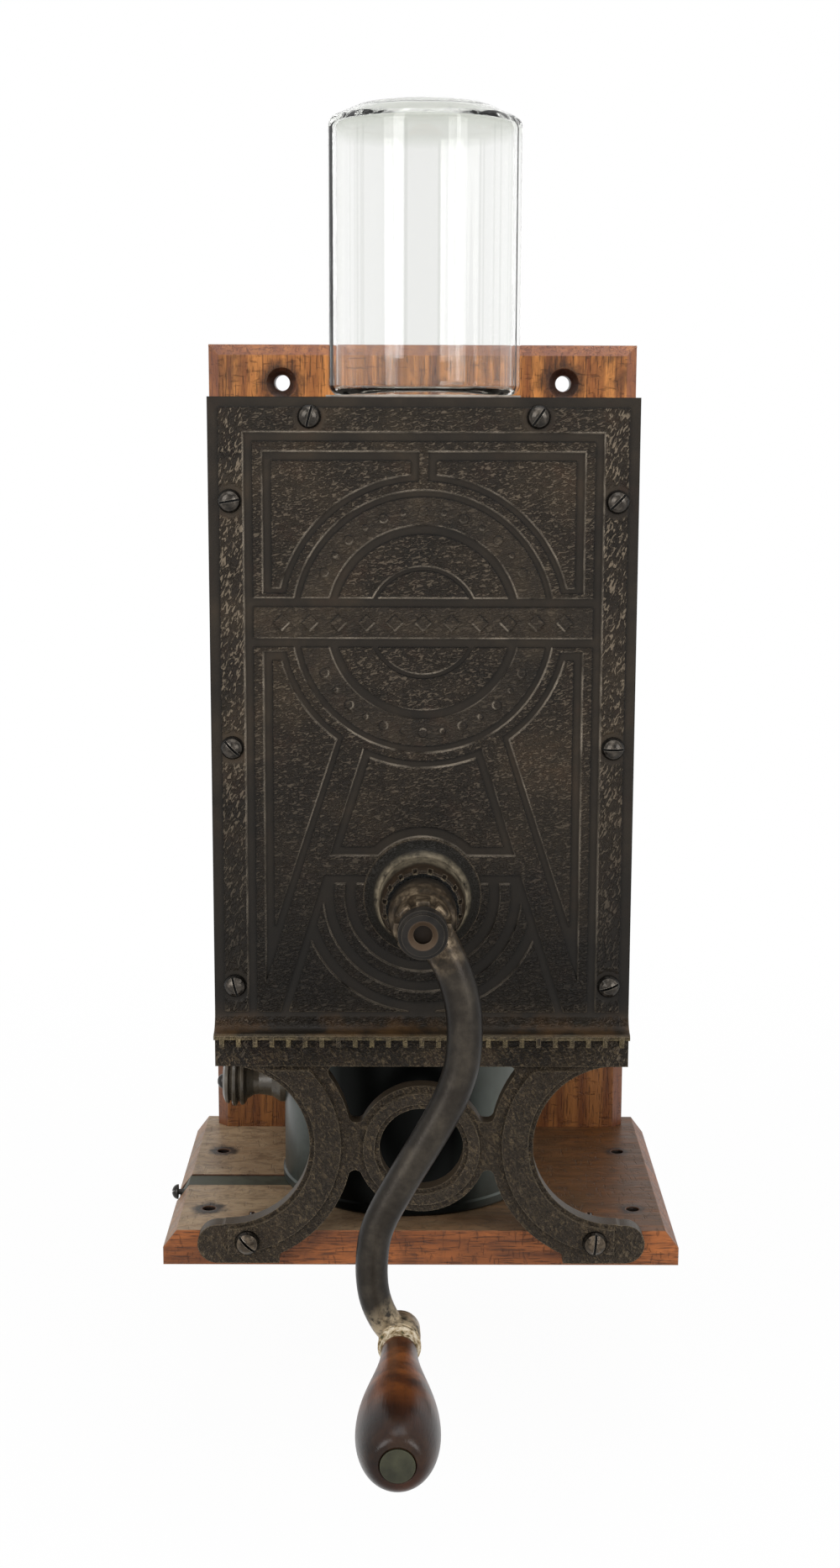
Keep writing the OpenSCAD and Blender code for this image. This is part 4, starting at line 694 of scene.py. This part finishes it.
def through(knots, count):
    """Smooth line through the knots, as count points: between b and c, with the knots a and d beyond them,
    it is the Catmull-Rom cubic in u, which runs from 0 to 1."""
    spots = np.linspace(0, len(knots) - 1, count)
    k = np.minimum(spots.astype(int), len(knots) - 2)
    u = (spots - k)[:, None]
    a, b, c, d = (knots[np.clip(k + n, 0, len(knots) - 1)] for n in (-1, 0, 1, 2))
    square, cube = 2 * a - 5 * b + 4 * c - d, 3 * b - a - 3 * c + d
    return 0.5 * (2 * b + (c - a) * u + square * u ** 2 + cube * u ** 3)


def bar(line, radius, columns=40):
    """Round section carried along a line; each ring stands square to the line."""
    ahead = np.gradient(line, axis=0)
    ahead /= np.linalg.norm(ahead, axis=1, keepdims=True)
    side = np.cross(ahead, (0, 1, 0))
    side /= np.linalg.norm(side, axis=1, keepdims=True)
    up = np.cross(side, ahead)
    turn = np.linspace(0, 2 * np.pi, columns, endpoint=False)[None, :, None]
    return line[:, None] + radius[:, None, None] * (np.cos(turn) * side[:, None] + np.sin(turn) * up[:, None])


def joined(name, *meshes):
    """Several closed meshes as one."""
    shape = bmesh.new()
    for mesh in meshes:
        shape.from_mesh(mesh)
    whole = bpy.data.meshes.new(name)
    shape.to_mesh(whole)
    shape.free()
    return whole


# The bar's middle line from the hub to the eye in millimetres: right, forward, up from the hub
bar_knots = np.array([
    (3, 0, -1), (8, 0.5, -10), (13.5, 1.5, -22), (16.8, 2.8, -37), (16.4, 4.4, -55), (11.5, 6, -71),
    (2.6, 7.6, -87.5), (-8.5, 9.2, -106), (-17.8, 10.5, -124), (-20.4, 11.3, -139), (-19.4, 11.8, -153),
    (-15, 12, -164), (-9, 12, -171)]) * 0.001 * (1, -1, 1) + (0, ARM_Y, SHAFT_Z)
bar_line = through(bar_knots, 150)
bar_radius = np.linspace(BAR_THICK_R, BAR_THIN_R, len(bar_line))
crank_bar = shell_mesh("crank_bar", bar(bar_line, bar_radius), caps=True)

# Radius and distance in front of HUB_Y: the hub reaches back to the boss's rim as a thin sleeve round
# the bush and the washer
hub_profile = [
    (0.0063, 0.0002), (0.01345, 0.0002), (0.01345, -0.0142), (0.0136, -0.0144), (0.0139, -0.0144),
    (0.0141, -0.0140), (0.0141, -0.004), (0.0140, 0), (0.0137, 0.0016), (0.0128, 0.0036), (0.0119, 0.0052),
    (0.0116, 0.0062), (0.0116, 0.0088), (0.0117, 0.0110), (0.0119, 0.0185), (0.0115, 0.0197),
    (0.0108, 0.0200), (0.0063, 0.0200)]
hub_notches = notched(8, 0.36, 0.0022, 0.0105, 0.021)
hub = shell_mesh("hub", spun(hub_profile, (0, HUB_Y, SHAFT_Z), hub_notches, columns=160))

eye_profile = [
    (0.0041, -EYE_HALF), (0.0078, -EYE_HALF), (0.0085, -0.0063), (0.0087, 0), (0.0085, 0.0063),
    (0.0078, EYE_HALF), (0.0041, EYE_HALF)]
eye = shell_mesh("eye", spun(eye_profile, EYE))


def sideways(f):
    """How far the surface faces left or right in the piece's own axes, from 0 to 1."""
    own_normal = f.node("TexCoord", out="Normal")
    return f.maths("ABSOLUTE", f.node("SeparateXYZ", out="X", Vector=own_normal))


def handled_iron():
    """Clouded dark iron, with painted shade blackening its sides, brown by the hub, pale dirt by the eye and
    rubbed edges."""
    f = Finish("handled_iron", Metallic=0.5, Specular_IOR_Level=0.25)
    cloud = f.noise(90.0, detail=6.0, rough=0.65)
    colour = f.ramp(cloud, (0.3, "#231e19"), (0.5, "#302b25"), (0.66, "#3e3830"), (0.8, "#50483c"))
    # Painted shade: the bar and the hub are darker where they face left or right.
    colour = f.lay(colour, "#12100e", f.step(sideways(f), 0.35, 0.95), 0.75)
    by_hub = f.step(f.away((0, HUB_Y - 0.01, SHAFT_Z)), 0.024, 0.014)
    grease = f.noise(230.0, detail=4.0, rough=0.6)
    brown = f.ramp(grease, (0.35, "#2a2319"), (0.5, "#493d2f"), (0.66, "#85755f"))
    colour = f.blend(f.times(by_hub, 0.85), colour, brown)
    colour = f.lay(colour, "#9a8d7d", f.edges(0.0007, 0.02, 0.2), 0.5)
    by_eye = f.step(f.away(tuple(EYE)), 0.02, 0.01)
    crust = f.step(f.noise(300.0, detail=4.0, rough=0.65), 0.36, 0.56)
    colour = f.lay(colour, "#b3a184", by_eye, crust, 0.85)
    shine = f.mapped(cloud, 0.3, 0.7, 0.3, 0.46)
    pits = f.noise(700.0, detail=4.0, rough=0.6)
    return f.out(Base_Color=colour, Roughness=shine, Normal=f.bump(pits, 0.0002, 0.5))


piece("crank", joined("crank", crank_bar, hub, eye), handled_iron(), "crank", "crank_iron", "crank_arm")


# Regulating nut
# Small round iron nut on the end of the shaft, in front of the hub. Turning it draws the cone
# burr nearer to the ring burr for a finer grind.
def nut_finish():
    """Black face, rubbed bright at the rim, round a countersink that is brown with old grease and laid near
    black in its middle as painted shade.
    """
    f = Finish("nut_iron", Metallic=0.4, Specular_IOR_Level=0.25)
    cloud = f.noise(140.0, detail=4.0, rough=0.6)
    colour = f.ramp(cloud, (0.3, "#191715"), (0.55, "#24211e"), (0.8, "#312d28"))
    spread = off_line(f, 0, SHAFT_Z)
    colour = f.lay(colour, "#4d3e30", f.step(spread, 0.0062, 0.0057))
    # Painted shade: the middle of the countersink, round the shaft's end, is laid near black.
    colour = f.lay(colour, "#0f0a07", f.step(spread, 0.0038, 0.0033))
    colour = f.lay(colour, "#7d7365", f.edges(0.0004), 0.4)
    return f.out(Base_Color=colour, Roughness=f.step(cloud, -0.3, 1.3),
                 Normal=f.bump(f.noise(900.0), 0.0001, 0.6))


dress(nut_finish(), "regulating_nut")


# Handle
# Turned beech grip under dark red-brown varnish, free on an iron rivet that shows as a round
# plug in its front end. Rust and old dirt have caked round the ferrule at its neck.
GRIP_GAP, FERRULE = 0.0008, 0.008
GRIP_Y = EYE[1] - EYE_HALF - GRIP_GAP - FERRULE


def varnish():
    """Red-brown varnish, blacker in clouds and in streaks along the grip, with painted shade blackening its
    sides, painted light in amber patches on the upper side of the neck and the middle, and dulled by
    grey-brown dirt."""
    f = Finish("varnish", Coat_Weight=0.08, Coat_Roughness=0.18, Specular_IOR_Level=0.2)
    cloud = f.noise(24.0, detail=3.0, rough=0.5)
    colour = f.ramp(cloud, (0.35, "#130b07"), (0.5, "#2a160c"), (0.62, "#452412"), (0.8, "#1d110b"))
    streak = f.step(f.noise(900.0, f.stretched((1.0, 0.12, 1.0)), detail=3.0, rough=0.6), 0.45, 0.7)
    colour = f.lay(colour, "#150b07", streak, 0.4)
    # Painted light: amber patches on the grip's upper side, away from its nose.
    painted_top_light = f.step(f.axis("Z"), EYE[2] - 0.006, EYE[2] + 0.01)
    off_nose = f.step(f.axis("Y"), -0.318, -0.29)
    patchy = f.step(f.noise(70.0, detail=4.0, rough=0.6), 0.4, 0.62)
    colour = f.lay(colour, "#864c22", painted_top_light, off_nose, patchy, 0.75)
    # Painted shade: the grip is darker where it faces left or right.
    colour = f.lay(colour, "#120c09", f.step(sideways(f), 0.5, 1.0), 0.55)
    colour = f.lay(colour, "#6a4c33", f.step(f.noise(50.0, detail=5.0, rough=0.65), 0.5, 0.72), 0.16)
    shine = f.mapped(cloud, 0.3, 0.7, 0.24, 0.4)
    return f.out(Base_Color=colour, Roughness=shine, Normal=f.bump(streak, 0.0001, 0.35))


def caked_brass():
    """Chalky pale dirt over green-black brass, in small lumps."""
    f = Finish("caked_brass", Roughness=0.8, Specular_IOR_Level=0.25)
    spots = f.noise(420.0, detail=4.0, rough=0.65)
    colour = f.ramp(spots, (0.3, "#343a28"), (0.42, "#7a6647"), (0.5, "#ad9c80"), (0.64, "#d2c6b0"))
    return f.out(Base_Color=colour, Normal=f.bump(spots, 0.0009, 0.9))


def grip_profile():
    """Radius along the grip from its neck: it swells to the fullest place as a power of a sine, and closes
    on the rivet's head in a quarter ellipse; then back down the hole for the head and along the bore."""
    length, neck, full, head, stem, sink = 0.094, 0.00725, 0.016, 0.00655, 0.00405, 0.004
    fullest, rim = 0.74, 0.0012
    swell = np.linspace(0, 1, 60)
    body = neck + (full - neck) * np.sin(np.pi / 2 * swell ** 1.25) ** 1.3
    turn = np.radians(np.linspace(3, 90, 40))
    nose = head + rim + (full - head - rim) * np.cos(turn)
    nose_along = fullest + (1 - fullest) * np.sin(turn)
    return [*zip(body, fullest * length * swell), *zip(nose, length * nose_along),
            (head + 0.0003, length - 0.0001), (head, length - 0.0006), (head, length - sink),
            (stem, length - sink), (stem, 0)]


grip_mesh = shell_mesh("wooden_grip", spun(grip_profile(), (EYE[0], GRIP_Y, EYE[2]), columns=96))
piece("wooden_grip", grip_mesh, varnish(), "grip", "grip_wood", "handle_grip")
dress(caked_brass(), "handle_ferrule")
dress(dark_steel("rivet_iron", "#3a3a2c", metal=0.2, rough=0.6), "handle_rivet")


# Cup
# Round cup of tinplate with a wired bead at its foot; it slides out to the left by its knob,
# a turned and blackened wooden knob held by one screw.
def tin_with_painted_shade_and_reflection():
    """Clouded grey tin with brown stains, painted shade near black across its middle under the case and a
    paler painted reflection right of it, with broad shallow dents."""
    f = Finish("tin_with_painted_shade_and_reflection", Metallic=0.65, Specular_IOR_Level=0.2)
    cloud = f.noise(34.0, f.stretched((1.0, 1.0, 0.5)), detail=5.0, rough=0.6)
    colour = f.ramp(cloud, (0.28, "#2c302d"), (0.5, "#3f4440"), (0.75, "#575c57"))
    colour = f.lay(colour, "#2a2823", f.step(f.noise(75.0, detail=5.0, rough=0.65), 0.52, 0.7), 0.4)
    x = f.axis("X")
    # Painted shade: near black across the cup's middle, under the case.
    colour = f.lay(colour, "#030403", f.step(x, -0.056, -0.036), f.step(x, 0.032, 0.014), 0.97)
    # Painted reflection: paler to the right of the shade.
    colour = f.lay(colour, "#70736d", f.step(x, 0.02, 0.036), 0.45)
    shine = f.mapped(cloud, 0.3, 0.7, 0.28, 0.42)
    dents = f.noise(20.0, detail=1.0)
    return f.out(Base_Color=colour, Roughness=shine, Normal=f.bump(dents, 0.0015, 0.4))


dress(tin_with_painted_shade_and_reflection(), "cup")
dress(dark_steel("black_knob", "#4a4338", metal=0.1, rough=0.3, gloss=0.5), "cup_knob")


# Spring strip
# Flat strip of blackened steel let into the base board, held by one screw in the board's end.
dress(dark_steel("strip_steel", "#4a4c40", metal=0.3, rough=0.55), "cup_spring")


# Studio
# Pale floor well below the hanging mill, three soft lights and a white world. The floor and the
# world are white to the camera and in gloss and glass, and shine less on the mill itself.
FLOOR_Z, FLOOR_HALF = -0.47, 6


def pale_floor():
    """Floor that is pale grey to the rays off dull surfaces. To the camera, and in gloss and glass, it is
    white light with a small share of the grey and its shadow, and with none of them far from the mill."""
    corners = [(x * FLOOR_HALF, y * FLOOR_HALF, FLOOR_Z) for x, y in ((-1, -1), (1, -1), (1, 1), (-1, 1))]
    mesh = bpy.data.meshes.new("floor")
    mesh.from_pydata(corners, [], [(0, 1, 2, 3)])
    floor = bpy.data.objects.new("floor", mesh)
    bpy.context.scene.collection.objects.link(floor)
    f = Finish("floor", Roughness=0.9, Base_Color=(0.88, 0.88, 0.88, 1.0))
    glow = f.tree.nodes.new("ShaderNodeEmission")
    mix = f.tree.nodes.new("ShaderNodeMixShader")
    rays = f.tree.nodes.new("ShaderNodeLightPath").outputs
    seen = f.maths("MAXIMUM", rays["Is Camera Ray"], rays["Is Transmission Ray"])
    seen = f.maths("MAXIMUM", seen, rays["Is Glossy Ray"])
    share = f.mapped(f.vector("LENGTH", f.place, out="Value"), 0.35, 0.9, 0.95, 1.0)
    f.tree.links.new(f.times(seen, share), mix.inputs[0])
    f.tree.links.new(f.shader.outputs[0], mix.inputs[1])
    f.tree.links.new(glow.outputs[0], mix.inputs[2])
    f.tree.links.new(mix.outputs[0], f.tree.nodes["Material Output"].inputs[0])
    mesh.materials.append(f.material)


def white_world(strength):
    """A soft grey dome lights the mill; the camera, and what is seen in or through gloss and glass,
    meets white."""
    world = bpy.data.worlds.new("studio")
    bpy.context.scene.world = world
    world.use_nodes = True
    nodes, links = world.node_tree.nodes, world.node_tree.links
    rays = nodes.new("ShaderNodeLightPath")
    plain = nodes["Background"]
    plain.inputs[0].default_value = (1, 1, 1, 1)
    plain.inputs[1].default_value = strength
    white = nodes.new("ShaderNodeBackground")
    white.inputs[0].default_value = (1, 1, 1, 1)
    white.inputs[1].default_value = 1.0
    mix = nodes.new("ShaderNodeMixShader")
    seen = rays.outputs["Is Camera Ray"]
    for ray in ("Is Glossy Ray", "Is Transmission Ray"):
        either = nodes.new("ShaderNodeMath")
        either.operation = "MAXIMUM"
        links.new(seen, either.inputs[0])
        links.new(rays.outputs[ray], either.inputs[1])
        seen = either.outputs[0]
    links.new(seen, mix.inputs[0])
    links.new(plain.outputs[0], mix.inputs[1])
    links.new(white.outputs[0], mix.inputs[2])
    links.new(mix.outputs[0], nodes["World Output"].inputs[0])


def soft_light(name, place, size, power):
    """A rectangular lamp that looks at the upper middle of the mill."""
    lamp = bpy.data.lights.new(name, "AREA")
    lamp.shape = "RECTANGLE"
    lamp.size, lamp.size_y = size
    lamp.energy = power
    made = bpy.data.objects.new(name, lamp)
    made.location = place
    made.rotation_euler = (Vector((0, -0.1, -0.2)) - Vector(place)).to_track_quat("-Z", "Y").to_euler()
    bpy.context.scene.collection.objects.link(made)


pale_floor()
white_world(0.47)
soft_light("window_left", (-1.1, -1.5, 0.6), (0.9, 1.2), 17.0)
soft_light("window_right", (1.2, -1.4, 0.5), (0.7, 1.2), 14.0)
soft_light("overhead", (0.1, -0.3, 1.5), (1.2, 0.8), 9.0)


# Camera
# At the photograph's place: about a metre in front, level with the hanging holes, looking down
# ten degrees. The focal length is in pixels of a picture 1866 high.
FOCAL, PICTURE_H, SENSOR_H = 2547.3, 1866.0, 36.0
CAMERA_AT = (-0.0042, -1.0503, -0.0107)
yaw, pitch, roll = math.radians(0.198), math.radians(10.010), math.radians(0.188)
right = Vector((math.cos(yaw), -math.sin(yaw), 0))
ahead = Vector((math.sin(yaw) * math.cos(pitch), math.cos(yaw) * math.cos(pitch), -math.sin(pitch)))
above = right.cross(ahead)
across = right * math.cos(roll) + above * math.sin(roll)
upward = above * math.cos(roll) - right * math.sin(roll)
lens = bpy.data.cameras.new("camera")
lens.sensor_fit = "VERTICAL"
lens.sensor_height = SENSOR_H
lens.lens = FOCAL / PICTURE_H * SENSOR_H
lens.clip_start = 0.01
camera = bpy.data.objects.new("camera", lens)
turned = Matrix((across, upward, -ahead)).transposed().to_4x4()
camera.matrix_world = Matrix.Translation(CAMERA_AT) @ turned
bpy.context.scene.collection.objects.link(camera)
bpy.context.scene.camera = camera
bpy.context.scene.view_settings.view_transform = "Standard"
